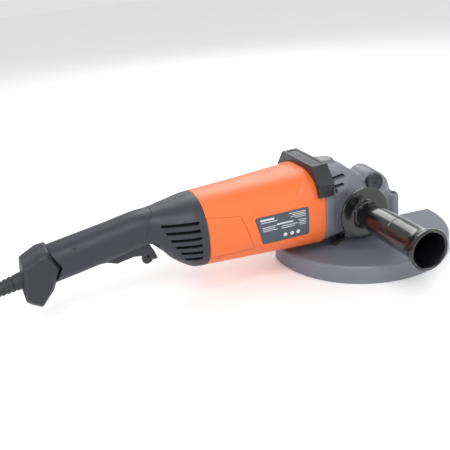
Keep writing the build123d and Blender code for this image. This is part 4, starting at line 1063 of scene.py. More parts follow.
# ------------------------------------------------------------------------------------------ motor housing
@dataclass
class MotorHousing:
    """Orange motor housing with its embossed line, brush covers and blank rating label.

    Attributes:
        body: Outer skin.
        wall: Wall thickness.
        crease: Embossed line in the side view, from the top front to the rear.
        cover: Outline of the brush cover.
        label: Outline of the rating label.
        gap: Width of the seams around the covers.
        skin_inset: How far the skin stays under the nominal surface.
        saddle_drop: How far the saddle above the crease lies below the flank.
        bead_height: Height of the bead along the crease.
        rim_drop: How far both end rims are set back.
        cover_well: Screw well of a brush cover, in the side view.
        cover_well_r: Radius of that well.
        tick: Small moulded tick near the rear foot of the cover.
        print_rows: Rear end, front end, height and thickness of each blank bar of the label.
        marks_x: Places of the three blank round marks along the tool.
        marks_z: Height of the round marks.
        mark_r: Radius of a round mark.
        print_lift: How far the print stands above the skin.
        print_depth: Thickness of the print.
    """

    body: LongBody = LongBody(
        (
            Station(-236.0, 47.3, 46.5, 69.0, 2.3),
            Station(-190.0, 49.4, 48.4, 69.0, 2.45),
            Station(-140.0, 51.6, 50.3, 69.0, 2.65),
            Station(-81.0, 53.7, 52.5, 69.0, 2.95),
        )
    )
    wall: float = 3.4
    crease: tuple[Flat, ...] = (
        (-91.0, 122.0),
        (-96.0, 117.5),
        (-101.5, 112.5),
        (-108.1, 103.9),
        (-114.6, 96.0),
        (-121.2, 90.1),
        (-131.2, 87.2),
        (-156.1, 89.3),
        (-194.6, 93.1),
        (-219.6, 95.2),
        (-240.0, 96.4),
    )
    cover: tuple[Flat, ...] = ((-235.0, 42.5), (-179.0, 43.5), (-194.0, 89.5), (-235.0, 95.0))
    label: tuple[Flat, ...] = ((-168.0, 45.5), (-105.2, 46.3), (-105.2, 84.0), (-177.5, 83.0))
    gap: float = 0.35
    skin_inset: float = 0.25
    saddle_drop: float = 0.9
    bead_height: float = 0.45
    rim_drop: float = 0.5
    cover_well: Flat = (-229.5, 68.0)
    cover_well_r: float = 2.7
    tick: tuple[Flat, ...] = ((-228.0, 38.6), (-222.0, 38.9), (-222.0, 39.7), (-228.0, 39.4))
    print_rows: tuple[tuple[float, float, float, float], ...] = (
        (-170.5, -152.0, 78.6, 2.4),
        (-170.0, -148.0, 75.2, 1.0),
        (-168.5, -150.0, 68.8, 0.9),
        (-168.0, -152.0, 66.4, 0.9),
        (-167.5, -148.5, 64.0, 0.9),
        (-149.0, -127.0, 69.8, 2.0),
        (-143.0, -121.0, 65.8, 0.9),
        (-143.0, -125.0, 63.4, 0.9),
        (-132.0, -109.5, 80.0, 0.8),
        (-128.0, -109.5, 77.8, 0.8),
        (-130.0, -109.5, 75.6, 0.8),
        (-124.0, -109.5, 73.4, 0.8),
        (-120.0, -109.5, 69.4, 0.8),
        (-118.5, -109.5, 67.2, 0.8),
        (-120.0, -109.5, 65.0, 0.8),
        (-118.0, -109.5, 62.8, 0.8),
    )
    marks_x: Point = (-138.0, -129.0, -120.5)
    marks_z: float = 53.6
    mark_r: float = 2.6
    print_lift: float = 0.19
    print_depth: float = 0.12

    def relief(self, x: np.ndarray, y: np.ndarray, z: np.ndarray) -> np.ndarray:
        """Height of the embossed step: the saddle above the line lies lower than the flank."""
        outline = list(self.crease) + [(-240.0, 140.0), (-91.0, 140.0)]
        away = path_distance(x, z, self.crease)
        above = inside(x, z, outline)
        signed = np.where(above, away, -away)
        strength = smoothstep(x, -238.0, -170.0)
        step = -self.saddle_drop * smoothstep(signed, -0.6, 3.4) * strength
        bead = self.bead_height * np.exp(-(((signed + 1.2) / 1.6) ** 2)) * strength
        rear_rim = -self.rim_drop * (1 - smoothstep(x, -236.0, -235.2))
        front_rim = -self.rim_drop * smoothstep(x, -81.8, -81.0)
        return np.minimum(step + bead, self.skin_inset) + rear_rim + front_rim - self.skin_inset

    def build(self) -> None:
        """Build the shell, cut the seams and fit the panels."""
        rear_rim, front_rim = [-236.0, -235.7, -235.3], [-81.6, -81.3, -81.0]
        xs = np.concatenate([rear_rim, np.linspace(-234.9, -82.0, 100), front_rim])
        outer = self.body.rings(xs, 0.0, self.relief, 220)
        inner = self.body.rings(xs[[0, 12, 40, 70, 100, -1]], -self.wall, None, 220)
        shell = hollow("motor_housing_shell", outer, inner)
        cutters = []
        for side in (-1, 1):
            grown = self.grown(self.cover, self.gap)
            cutters.append(slab("cutter", rounded_path(grown, 1.5), side * 36.0, side * 60.0))
        cutters.append(slab("cutter", rounded_path(self.tick, 0.4), -38.0, -60.0))
        carve(shell, cutters)
        settle(shell, 32)
        place_piece(shell, "root", Finishes.ORANGE_NYLON, ["motor_housing"])
        for side, name in ((-1, "right"), (1, "left")):
            piece = self.panel(f"brush_cover_{name}_panel", self.cover, side, 1.5, 3.0, 0.28)
            well_x, well_z = self.cover_well
            well = bar("cutter", (well_x, side * 38.0, well_z), (0, side, 0), 20.0, self.cover_well_r)
            carve(piece, [well])
            settle(piece, 32)
            place_piece(piece, "root", Finishes.ORANGE_NYLON, [f"brush_cover_{name}"])
        film = settle(self.panel("rating_label_film", self.label, -1, 3.5, 0.8, 0.1, 0.16), 40)
        place_piece(film, "root", Finishes.LABEL_FILM, ["rating_label"])
        self.print_bars()

    @staticmethod
    def grown(outline: Sequence[Flat], amount: float) -> list[Flat]:
        """Outline moved outwards from its middle by about an amount."""
        mid = Vector((sum(p[0] for p in outline), sum(p[1] for p in outline))) / len(outline)
        result = []
        for point in outline:
            away = Vector(point) - mid
            step = Vector((math.copysign(amount, away.x), math.copysign(amount, away.y)))
            result.append(tuple(mid + away + step))
        return result

    def panel(
        self,
        name: str,
        outline: Sequence[Flat],
        side: int,
        corner: float,
        thickness: float,
        edge: float,
        proud: float = 0.0,
    ) -> bpy.types.Object:
        """Curved panel that follows the housing's skin.

        Args:
            name: Name of the piece.
            outline: Corners in the side view.
            side: -1 for the right side of the tool, 1 for the left.
            corner: Reach of the corner rounding.
            thickness: Thickness of the panel.
            edge: Rounding of its rim.
            proud: How far it stands above the skin.

        Returns:
            The mesh object.
        """
        path = np.array(rounded_path(outline, corner, 8))
        dense = []
        for a, b in zip(path, np.roll(path, -1, axis=0)):
            steps = max(1, int(np.hypot(*(b - a)) / 1.5))
            dense += [a + (b - a) * k / steps for k in range(steps)]
        rim = np.array(dense)
        middle = rim.mean(axis=0)
        reach = np.hypot(*(rim - middle).T)[:, None]
        levels = [(0.0, -thickness), (0.0, -edge), (edge * 0.3, -edge * 0.3), (edge, 0.0)]
        rings = []
        for inset, height in levels:
            flat = rim + (middle - rim) / reach * inset
            rings.append(self.on_skin(flat, side, height + proud))
        for share in np.linspace(0.08, 0.97, 14):
            rings.append(self.on_skin(rim + (middle - rim) * share, side, proud))
        return skin(name, rings)

    def on_skin(self, flat: np.ndarray, side: int, height: float) -> np.ndarray:
        """Points of the side view dropped on the housing's skin at a height above it."""
        half_y, half_z, centre, power = self.body.values(flat[:, 0])
        share = np.clip(np.abs(flat[:, 1] - centre) / half_z, 0, 0.999)
        y = half_y * (1 - share**power) ** (1 / power)
        lift = self.relief(flat[:, 0], y, flat[:, 1])
        return np.column_stack([flat[:, 0], side * (y + lift + height), flat[:, 1]])

    def print_bars(self) -> None:
        """Blank grey bars where a rating label carries its print, so that no wording is shown."""
        pieces = []
        deeper = np.array([0, self.print_depth, 0])
        for low_x, high_x, z, tall in self.print_rows:
            xs = np.linspace(low_x, high_x, 12)
            lower = self.on_skin(np.column_stack([xs, np.full(12, z - tall / 2)]), -1, self.print_lift)
            upper = self.on_skin(np.column_stack([xs, np.full(12, z + tall / 2)]), -1, self.print_lift)
            ring = np.concatenate([lower, upper[::-1]])
            pieces.append(self.strip(ring, ring + deeper))
        angle = np.linspace(0, 2 * np.pi, 24, endpoint=False)
        for x in self.marks_x:
            circle = [x + self.mark_r * np.cos(angle), self.marks_z + self.mark_r * np.sin(angle)]
            ring = self.on_skin(np.column_stack(circle), -1, self.print_lift)
            pieces.append(skin("mark", [ring, ring + deeper]))
        bars = join(pieces)
        bars.name = "rating_label_bars"
        settle(bars, 30)
        place_piece(bars, "root", Finishes.LABEL_PRINT)

    @staticmethod
    def strip(ring: np.ndarray, deep: np.ndarray) -> bpy.types.Object:
        """Thin bar between an upper and a lower outline."""
        count = len(ring)
        half = count // 2
        verts = np.concatenate([ring, deep])
        faces = []
        for k in range(half - 1):
            a, b, c, d = k, k + 1, count - 2 - k, count - 1 - k
            faces += [(a, b, c, d), (count + a, count + d, count + c, count + b)]
        for k in range(count):
            after = (k + 1) % count
            faces.append((k, after, count + after, count + k))
        return new_mesh("bar", verts, faces)


@dataclass
class Bumper:
    """Black bridge-shaped bumper over the joint of housing and gear case.

    Attributes:
        rear_x: Rear face.
        front_x: Front face.
        top: Height of the top.
        top_half: Half width of the top.
        side_half: Half width across the legs.
        shoulder_z: Height where the slopes begin.
        foot_z: Lower end of the legs.
        bevel: Rounding of the edges.
        frame_x: Width of the frame around the sunk top panel, along the tool.
        frame_y: Width of that frame across the tool.
        sunk: Depth of the sunk top panel.
        arch_x: Where the housing's section gives the arch its form.
        arch_gap: Gap between the arch and the housing.
    """

    rear_x: float = -91.5
    front_x: float = -70.0
    top: float = 129.0
    top_half: float = 40.0
    side_half: float = 56.5
    shoulder_z: float = 108.0
    foot_z: float = 92.0
    bevel: float = 1.6
    frame_x: float = 4.0
    frame_y: float = 5.0
    sunk: float = 0.9
    arch_x: float = -84.0
    arch_gap: float = 0.15

    def build(self) -> None:
        """Build the bridge from its outline, sink its top panel and round its edges."""
        housing = MotorHousing().body
        section = housing.rings(np.array([self.arch_x]), self.arch_gap, None, 160)[0]
        middle_z = housing.stations[-1].centre_z
        arch = [tuple(p[1:]) for p in section if p[2] > self.foot_z]
        arch.sort(key=lambda p: -math.atan2(p[1] - middle_z, p[0]))
        outline = [
            (-self.side_half, self.foot_z),
            (-self.side_half, self.shoulder_z),
            (-self.top_half, self.top),
            (self.top_half, self.top),
            (self.side_half, self.shoulder_z),
            (self.side_half, self.foot_z),
        ]
        feet = [(arch[-1][0], self.foot_z), (arch[0][0], self.foot_z)]
        path = outline + [feet[0] if feet[0][0] > 0 else feet[1]] + arch[::-1]
        path += [feet[1] if feet[0][0] > 0 else feet[0]]
        bridge = slab("bumper_bridge", path, self.rear_x, self.front_x, "YZ")
        panel_half = self.top_half - self.frame_y
        low_x, high_x = self.rear_x + self.frame_x, self.front_x - self.frame_x
        corners = [(low_x, -panel_half), (high_x, -panel_half), (high_x, panel_half), (low_x, panel_half)]
        floor_z = self.top - self.sunk
        carve(bridge, [slab("cutter", rounded_path(corners, 2.0), floor_z, self.top + 4, "XY")])
        round_edges(bridge, self.bevel, 4, 28)
        settle(bridge, 40)
        place_piece(bridge, "root", Finishes.CAP_NYLON, ["bumper"])


# ------------------------------------------------------------------------------------------ rear handle
@dataclass
class RearHandle:
    """Black rear handle: flared and vented towards the motor, slim in the hand.

    Attributes:
        body: Outer skin.
        wall: Wall thickness.
        vents: Rear end and height of each air slot.
        vent_front: Front end of the air slots.
        vent_h: Height of an air slot.
        screws: Screw wells on the right side.
        well_r: Radius of the wells.
        seam: Joint line between grip and vented part, as pairs of place and height.
        fold: Diagonal fold under the air slots, from its top, as pairs of place and height.
        slot_half: Half width of the trigger's slot.
        tail_edge: Region behind the handle that the tail cap fills.
        seam_depth: Depth of the joint line.
        fold_drop: How far the skin drops behind the fold.
        parting_depth: Depth of the line between the two halves.
        skin_inset: How far the skin stays under the nominal surface.
        rim_front: How far the front rim is set back.
        rim_rear: How far the rear rim is set back.
        shade_sheet_depth: How far the near-black sheet behind the air slots, painted shade, stands behind
            the skin.
        rib_height: Height of that sheet's ribs.
        rib_pitch: Spacing of the ribs.
    """

    body: LongBody = LongBody(
        (
            Station(-424.0, 22.4, 22.2, 67.5, 2.5),
            Station(-406.0, 22.4, 22.2, 70.2, 2.5),
            Station(-348.0, 22.6, 22.1, 79.1, 2.4),
            Station(-301.0, 23.2, 21.9, 86.0, 2.4),
            Station(-288.5, 28.5, 27.2, 81.3, 2.4),
            Station(-275.0, 36.0, 35.0, 75.3, 2.4),
            Station(-262.5, 41.5, 40.7, 71.2, 2.4),
            Station(-250.0, 45.5, 45.0, 69.0, 2.4),
            Station(-236.0, 47.3, 46.5, 69.0, 2.3),
        )
    )
    wall: float = 3.0
    vents: tuple[Flat, ...] = (
        (-293.0, 92.0),
        (-289.0, 83.0),
        (-284.5, 73.5),
        (-280.0, 64.5),
        (-275.0, 55.5),
        (-270.5, 46.5),
    )
    vent_front: float = -245.0
    vent_h: float = 4.2
    screws: tuple[Flat, ...] = ((-253.6, 100.3), (-255.4, 38.3), (-389.5, 84.0))
    well_r: float = 4.5
    seam: tuple[Flat, ...] = (
        (-290.5, 112.0),
        (-293.9, 106.4),
        (-299.8, 99.1),
        (-303.3, 88.1),
        (-305.2, 73.3),
    )
    fold: tuple[Flat, ...] = ((-293.4, 76.2), (-286.1, 60.5), (-276.7, 44.0), (-268.0, 30.0))
    slot_half: float = 9.6
    tail_edge: tuple[Flat, ...] = (
        (-460.0, 100.0),
        (-419.0, 100.0),
        (-419.0, 90.5),
        (-407.5, 69.0),
        (-421.4, 41.0),
        (-440.0, 20.0),
        (-460.0, 20.0),
    )
    seam_depth: float = 0.7
    fold_drop: float = 1.5
    parting_depth: float = 0.45
    skin_inset: float = 0.2
    rim_front: float = 0.6
    rim_rear: float = 0.5
    shade_sheet_depth: float = 8.0
    rib_height: float = 0.6
    rib_pitch: float = 4.0

    def relief(self, x: np.ndarray, y: np.ndarray, z: np.ndarray) -> np.ndarray:
        """Seams, the folded edge under the air slots and softened rims."""
        seam = -self.seam_depth * np.exp(-((path_distance(x, z, self.seam) / 0.55) ** 2))
        away = path_distance(x, z, self.fold)
        upward = self.fold[::-1]
        edge_x = np.interp(z, [p[1] for p in upward], [p[0] for p in upward])
        behind = (x < edge_x) & (z < 80.0)
        depth = self.fold_drop * smoothstep(away, 0.0, 5.0) * smoothstep(80.0 - z, 0.0, 14.0)
        depth = depth * smoothstep(x, -306.0, -296.0)
        fold = np.where(behind, -depth, 0.0)
        ridge = 0.25 * np.exp(-((away / 1.3) ** 2)) * smoothstep(x, -300.0, -290.0)
        parting = -self.parting_depth * np.exp(-((y / 0.35) ** 2))
        front_rim = -self.rim_front * smoothstep(x, -237.0, -236.0)
        rear_rim = -self.rim_rear * (1 - smoothstep(x, -419.4, -418.4))
        return seam + fold + np.minimum(ridge, 0.2) + parting + front_rim + rear_rim - self.skin_inset

    def build(self) -> None:
        """Build the shell with its lines, then cut slots and wells."""
        grip, flare, front = (-419.4, -312.0, 60), (-311.0, -262.0, 70), (-261.0, -236.0, 26)
        xs = np.concatenate([np.linspace(*run) for run in (grip, flare, front)])
        outer = self.body.rings(xs, 0.0, self.relief, 220)
        inner = self.body.rings(xs[::8], -self.wall, None, 220)
        inner.append(self.body.rings(xs[-1:], -self.wall, None, 220)[0])
        shell = hollow("rear_handle_shell", outer, inner)
        cutters = [self.trigger_slot()]
        for rear_x, z in self.vents:
            for side in (-1, 1):
                cutters.append(self.air_slot(rear_x, z, side))
        for x, z in self.screws:
            cutters.append(bar("cutter", (x, -14.0, z), (0, -1, 0), 60.0, self.well_r, 0.1))
        carve(shell, cutters)
        carve(shell, [slab("cutter", self.tail_edge, -60.0, 60.0)])
        settle(shell, 34)
        place_piece(
            shell, "root", Finishes.BLACK_NYLON, ["rear_handle_left", "rear_handle_right"]
        )
        self.painted_shade_sheet()

    def trigger_slot(self) -> bpy.types.Object:
        """Cutter of the long slot in the underside."""
        rear_x, front_x, half = -391.0, -288.4, self.slot_half
        corners = [(rear_x, -half), (front_x, -half), (front_x, half), (rear_x, half)]
        return slab("cutter", rounded_path(corners, 3.0), 5.0, 72.0, "XY")

    def air_slot(self, rear_x: float, z: float, side: int) -> bpy.types.Object:
        """Cutter of one air slot, flared at its rear end so that the wall there catches the light.

        Args:
            rear_x: Rear end of the slot.
            z: Height of its middle.
            side: -1 for the right side of the tool, 1 for the left.

        Returns:
            The mesh object.
        """
        half = self.vent_h / 2
        outline_out = [
            (rear_x, z - half),
            (self.vent_front, z - half),
            (self.vent_front, z + half),
            (rear_x - 2.0, z + half),
        ]
        outline_in = [
            (rear_x + 7.0, z - half + 0.4),
            (self.vent_front - 0.5, z - half + 0.4),
            (self.vent_front - 0.5, z + half - 0.4),
            (rear_x + 6.0, z + half - 0.4),
        ]
        deep = self.body.side_y(rear_x + 10, z) - 9.0
        far = 60.0
        outer_ring = rounded_path(outline_out, 0.9, 4)
        inner_ring = rounded_path(outline_in, 0.7, 4)
        rings = []
        for ring, y in ((inner_ring, deep), (outer_ring, far)):
            rings.append(np.array([(a, side * y, b) for a, b in ring]))
        return skin("cutter", rings)

    def painted_shade_sheet(self) -> None:
        """Dark ribbed sheet behind the air slots: painted shade, near black, for the dark inside of the
        slots.
        """
        xs = np.linspace(-300.0, -238.0, 60)

        def ribs(x: np.ndarray, y: np.ndarray, z: np.ndarray) -> np.ndarray:
            """Height of the shade sheet's ribs."""
            return self.rib_height * np.cos(2 * np.pi * x / self.rib_pitch)

        outer = self.body.rings(xs, -self.shade_sheet_depth, ribs, 120)
        inner = self.body.rings(xs, -self.shade_sheet_depth - 1.5, None, 120)
        # painted shade: this near-black sheet stands behind the air slots so that they look dark inside
        shade_sheet = hollow("vent_painted_shade_sheet", outer, inner)
        posts = [bar("cutter", (x, -60.0, z), (0, 1, 0), 120.0, 6.4, 0.1) for x, z in self.screws[:2]]
        carve(shade_sheet, [self.trigger_slot(), *posts])
        settle(shade_sheet, 40)
        place_piece(shade_sheet, "root", Finishes.SHADOW_BLACK)


@dataclass
class TailCap:
    """Faceted end cap of the handle with its foot.

    Attributes:
        outline: Corners in the side view.
        half_y: Half width.
        chamfer: Width of the chamfer between side and rim.
        foot_screw: Place of the screw well in the foot.
        middle: Point that the rim is drawn towards.
        facet: Sunk facet near the cap's nose, on both sides.
    """

    outline: tuple[Flat, ...] = (
        (-419.0, 90.5),
        (-407.5, 69.0),
        (-421.4, 41.0),
        (-437.5, 23.6),
        (-449.0, 30.5),
        (-454.0, 35.0),
        (-455.0, 45.5),
        (-450.5, 79.2),
        (-430.5, 89.3),
    )
    half_y: float = 22.0
    chamfer: float = 4.6
    foot_screw: Flat = (-441.0, 37.0)
    middle: Flat = (-433.0, 60.0)
    facet: tuple[Flat, ...] = ((-413.5, 78.0), (-409.6, 69.5), (-418.5, 52.0), (-424.0, 62.0))

    def build(self) -> None:
        """Build the cap with a chamfered rim, a seam line and a sunk facet on each side."""
        rim = np.array(rounded_path(self.outline, 2.0, 5))
        rings = []
        for inset, y in (
            (5.2, -self.half_y),
            (1.0, -self.half_y + self.chamfer),
            (0.2, -self.half_y + self.chamfer + 1.4),
            (0.0, -0.35),
            (0.45, 0.0),
            (0.0, 0.35),
            (0.2, self.half_y - self.chamfer - 1.4),
            (1.0, self.half_y - self.chamfer),
            (5.2, self.half_y),
        ):
            flat = self.shrunk(rim, np.array(self.middle), inset)
            rings.append(np.array([(a, y, b) for a, b in flat]))
        cap = skin("tail_cap_body", rings)
        screw_x, screw_z = self.foot_screw
        cord_line = (-0.983, 0.0, -0.184)
        cutters = [
            bar("cutter", (screw_x, -14.0, screw_z), (0, -1, 0), 30.0, 4.5, 0.1),
            bar("cutter", (-400.0, 0.0, 66.4), cord_line, 80.0, 4.75, 0.1),
            bar("cutter", (-448.6, 0.0, 57.3), cord_line, 20.0, 10.1, 0.1),
        ]
        facet = rounded_path(self.facet, 1.0)
        for side in (-1, 1):
            cutters.append(slab("cutter", facet, side * (self.half_y - 0.8), side * 30.0))
        carve(cap, cutters)
        round_edges(cap, 0.7, 3, 24)
        settle(cap, 36)
        place_piece(cap, "root", Finishes.CAP_NYLON, ["tail_cap_left", "tail_cap_right"])

    @staticmethod
    def shrunk(rim: np.ndarray, middle: np.ndarray, inset: float) -> np.ndarray:
        """Outline pulled towards its middle by about an inset."""
        reach = np.hypot(*(rim - middle).T)[:, None]
        return rim + (middle - rim) / reach * inset


@dataclass
class TriggerGroup:
    """Paddle trigger with its lock-off lever.

    Attributes:
        paddle: Outline of the paddle.
        lever: Outline of the lock-off lever.
        half_y: Half width of the paddle.
        lever_half: Half width of the lever.
        pivot: Place of the paddle's pin.
        pivot_r: Radius of the paddle's pin bore.
        lever_pivot: Place of the lever's pin.
    """

    paddle: tuple[Flat, ...] = (
        (-300.0, 66.0),
        (-384.0, 64.0),
        (-388.5, 62.0),
        (-388.5, 58.0),
        (-386.0, 55.5),
        (-354.0, 55.2),
        (-342.6, 50.7),
        (-321.0, 54.2),
        (-308.7, 52.2),
        (-304.0, 46.5),
        (-296.0, 44.5),
        (-291.8, 44.9),
        (-295.0, 55.0),
    )
    lever: tuple[Flat, ...] = (
        (-307.6, 53.4),
        (-300.4, 53.4),
        (-296.2, 46.5),
        (-295.9, 43.3),
        (-300.0, 39.0),
        (-305.6, 37.7),
        (-310.0, 41.0),
        (-309.5, 46.0),
    )
    half_y: float = 9.0
    lever_half: float = 3.5
    pivot: Flat = (-384.0, 60.5)
    lever_pivot: Flat = (-303.9, 50.2)
    pivot_r: float = 2.56

    def pin_bore(self, place: Flat, radius: float) -> bpy.types.Object:
        """Cutter of a pin's bore across the tool."""
        return bar("cutter", (place[0], -12.0, place[1]), (0, 1, 0), 24.0, radius, 0.05)

    def build(self) -> None:
        """Build paddle and lever with softened edges."""
        paddle = slab("trigger_paddle", rounded_path(self.paddle, 1.6, 4), -self.half_y, self.half_y)
        gap = [(-315.0, 0.0), (-287.0, 0.0), (-287.0, 56.2), (-315.0, 56.2)]
        fork = slab("cutter", gap, -self.lever_half - 0.4, self.lever_half + 0.4)
        pivot = self.pin_bore(self.pivot, self.pivot_r)
        bore = self.pin_bore(self.lever_pivot, 1.52)
        carve(paddle, [fork, pivot, bore])
        round_edges(paddle, 0.8, 3, 40)
        settle(paddle, 36)
        place_piece(paddle, "trigger", Finishes.BLACK_NYLON, ["trigger"])
        outline = rounded_path(self.lever, 1.8, 5)
        lever = slab("lock_off_tongue", outline, -self.lever_half, self.lever_half)
        carve(lever, [self.pin_bore(self.lever_pivot, 1.6)])
        round_edges(lever, 0.6, 3, 40)
        settle(lever, 36)
        place_piece(lever, "lock_off", Finishes.CAP_NYLON, ["lock_off_lever"])


# ------------------------------------------------------------------------------------------ gear case
@dataclass
class GearCase:
    """Die-cast gear case: cast as one form with soft fillets, then slotted and bored.

    Attributes:
        body: Form between the motor housing and the nose.
        nose_r: Radius of the nose around the spindle.
        bottom: Height of the lower rim.
        dome_top: Height of the nose.
        lug_circle: Radius on which the screw lugs stand.
        lug_r: Radius of a lug.
        lug_top: Height of the lugs.
        voxel: Grain of the casting's mesh.
        side_socket: Place and height of the side handle's sockets.
        side_socket_y: Distance of their faces from the tool's middle.
        top_socket: Place and height of the top socket's face.
        button_z: Height of the spindle lock.
        boss_y: Face of the spindle lock's boss.
        head_r: Radius of a screw's head.
        head_h: Height of a screw's head.
        bearings: Directions of the screw lugs from the spindle, in degrees.
    """

    body: LongBody = LongBody(
        (
            Station(-81.0, 53.4, 52.2, 69.0, 3.0),
            Station(-66.0, 52.6, 50.0, 70.2, 3.1),
            Station(-38.0, 49.5, 45.5, 71.0, 3.2),
            Station(-18.0, 45.0, 38.0, 63.0, 3.2),
            Station(4.0, 41.0, 32.5, 57.5, 3.0),
        )
    )
    nose_r: float = 41.5
    bottom: float = 25.0
    dome_top: float = 90.5
    lug_circle: float = 47.0
    lug_r: float = 7.6
    lug_top: float = 65.0
    side_socket: Flat = (-36.0, 64.3)
    side_socket_y: float = 53.8
    top_socket: Flat = (-52.0, 121.6)
    button_z: float = 88.0
    boss_y: float = -35.0
    voxel: float = 1.4
    head_r: float = 3.6
    head_h: float = 1.9
    bearings: tuple[float, ...] = (45.0, 135.0, 225.0, 315.0)

    def build(self) -> None:
        """Cast the form, then cut slots, bores and sockets."""
        parts = [self.trunk(), self.nose(), *self.lugs(), *self.bosses(), *self.ribs()]
        case = join(parts)
        case.name = "gear_case_casting"
        remesh = case.modifiers.new("cast", "REMESH")
        remesh.mode = "VOXEL"
        remesh.voxel_size = self.voxel * MM
        remesh.adaptivity = 0.0
        smooth = case.modifiers.new("fillets", "SMOOTH")
        smooth.factor = 0.5
        smooth.iterations = 5
        apply_modifiers(case)
        carve(case, self.cutters())
        settle(case, 42)
        place_piece(case, "root", Finishes.CAST_ENAMEL, ["gear_case"])
        self.screw_heads()

    def trunk(self) -> bpy.types.Object:
        """Tapered form behind the nose, closed at both ends."""
        xs = np.linspace(-81.0, 4.0, 40)
        rings = self.body.rings(xs, 0.0, self.relief, 160)
        for ring in rings:
            ring[:, 2] = np.maximum(ring[:, 2], self.low_z(ring[:, 0]))
        return skin("trunk", rings)

    def low_z(self, x: np.ndarray) -> np.ndarray:
        """Lowest height of the form: it rises from the motor housing's foot to the plate's seat."""
        return 16.8 + (self.bottom - 16.8) * smoothstep(x, -74.0, -56.0)

    @staticmethod
    def relief(x: np.ndarray, y: np.ndarray, z: np.ndarray) -> np.ndarray:
        """Raised frame around the exhaust slots and the shallow field under it."""
        slot_frame = [(-78.0, 91.0), (-47.0, 88.0), (-38.0, 108.0), (-64.0, 119.0)]
        field_in = inside(x, z, [*slot_frame, (-78.0, 119.0)])
        away = path_distance(x, z, slot_frame)
        raised = np.where(field_in, 1.4 * smoothstep(away, 0.0, 1.5), 0.0)
        flank = inside(x, z, [(-66.0, 86.0), (-66.0, 34.0), (-46.0, 34.0), (-46.0, 84.0)])
        return raised - np.where(flank, 1.0, 0.0) - 0.3

    def nose(self) -> bpy.types.Object:
        """Domed drum around the spindle, with a slight draft."""
        top = self.dome_top - self.bottom
        profile = [
            (0, 0),
            (0, self.nose_r),
            (top - 20, self.nose_r - 0.7),
            (top - 12, self.nose_r - 3.0),
            (top - 5.5, self.nose_r - 8.5),
            (top - 1.5, self.nose_r - 17.0),
            (top, self.nose_r - 27.0),
            (top, 0),
        ]
        return turn("nose", profile, (0, 0, self.bottom), (0, 0, 1), 96)

    def lugs(self) -> list[bpy.types.Object]:
        """Four screw lugs, each with a sloped shoulder that runs up into the drum."""
        made = []
        for bearing in self.bearings:
            angle = math.radians(bearing)
            out = Vector((math.cos(angle), math.sin(angle), 0))
            place = out * self.lug_circle
            height = self.lug_top - self.bottom
            profile = [(0, 0), (0, self.lug_r), (height - 3, self.lug_r - 0.6)]
            profile += [(height, self.lug_r - 3.0), (height, 0)]
            made.append(turn("lug", profile, (place.x, place.y, self.bottom), (0, 0, 1), 32))
            wide = Vector((-out.y, out.x, 0)) * (self.lug_r - 0.8)
            inner, outer = out * 20.0, out * (self.lug_circle + 1.0)
            web = []
            for spot, top in ((inner, self.dome_top - 8), (outer, self.lug_top - 2)):
                web += [
                    (*(spot - wide).xy, self.bottom),
                    (*(spot + wide).xy, self.bottom),
                    (*(spot + wide).xy, top),
                    (*(spot - wide).xy, top),
                ]
            faces = [(0, 1, 2, 3), (7, 6, 5, 4), (0, 4, 5, 1), (1, 5, 6, 2), (2, 6, 7, 3), (3, 7, 4, 0)]
            made.append(new_mesh("web", web, faces))
        return made

    def bosses(self) -> list[bpy.types.Object]:
        """Bosses of the handle sockets and of the spindle lock."""
        made = []
        x, z = self.side_socket
        for side in (-1, 1):
            profile = [(0, 0), (0, 17.0), (20, 16.5), (34.0, 15.0)]
            profile += [(self.side_socket_y, 13.8), (self.side_socket_y, 0)]
            made.append(turn("boss", profile, (x, 0, z), (0, side, 0), 48))
        top_x, top_z = self.top_socket
        low = 96.0
        rise = top_z - low
        profile = [(0, 0), (0, 17.0), (12, 16.0), (rise - 4, 13.2), (rise - 1.0, 12.0)]
        profile += [(rise, 10.6), (rise, 0)]
        made.append(turn("boss", profile, (top_x, 0, low), (0, 0, 1), 48))
        reach = -self.boss_y
        profile = [(0, 0), (0, 17.5), (22, 16.8), (reach - 1.0, 15.5), (reach, 14.6), (reach, 0)]
        made.append(turn("boss", profile, (0, 0, self.button_z - 1.5), (0, -1, 0), 48))
        return made

    def ribs(self) -> list[bpy.types.Object]:
        """Raised pad in front of the nose and the cast ribs that run down the flanks."""
        made = []
        pad = [(-9.0, 30.0), (9.0, 30.0), (8.0, 74.0), (-8.0, 74.0)]
        made.append(slab("pad", pad, self.nose_r - 8.0, self.nose_r + 0.6, "YZ"))
        for side in (-1, 1):
            rib = [(-64.0, 84.0), (-60.0, 84.0), (-44.0, 34.0), (-48.0, 34.0)]
            made.append(slab("rib", rib, side * 40.0, side * 51.2))
        return made

    def cutters(self) -> list[bpy.types.Object]:
        """Solids of everything that is cut after casting."""
        made = []
        for side in (-1, 1):
            for step, (front_x, low_z) in enumerate(((-51.0, 98.0), (-46.0, 107.0))):
                slot = [(-74.0, low_z - 1.0), (front_x, low_z + 0.4)]
                slot += [(front_x - 1.5, low_z + 4.4), (-72.0, low_z + 3.6)]
                inner = 16.0 if step else 24.0
                made.append(slab("cutter", rounded_path(slot, 1.2), side * inner, side * 60.0))
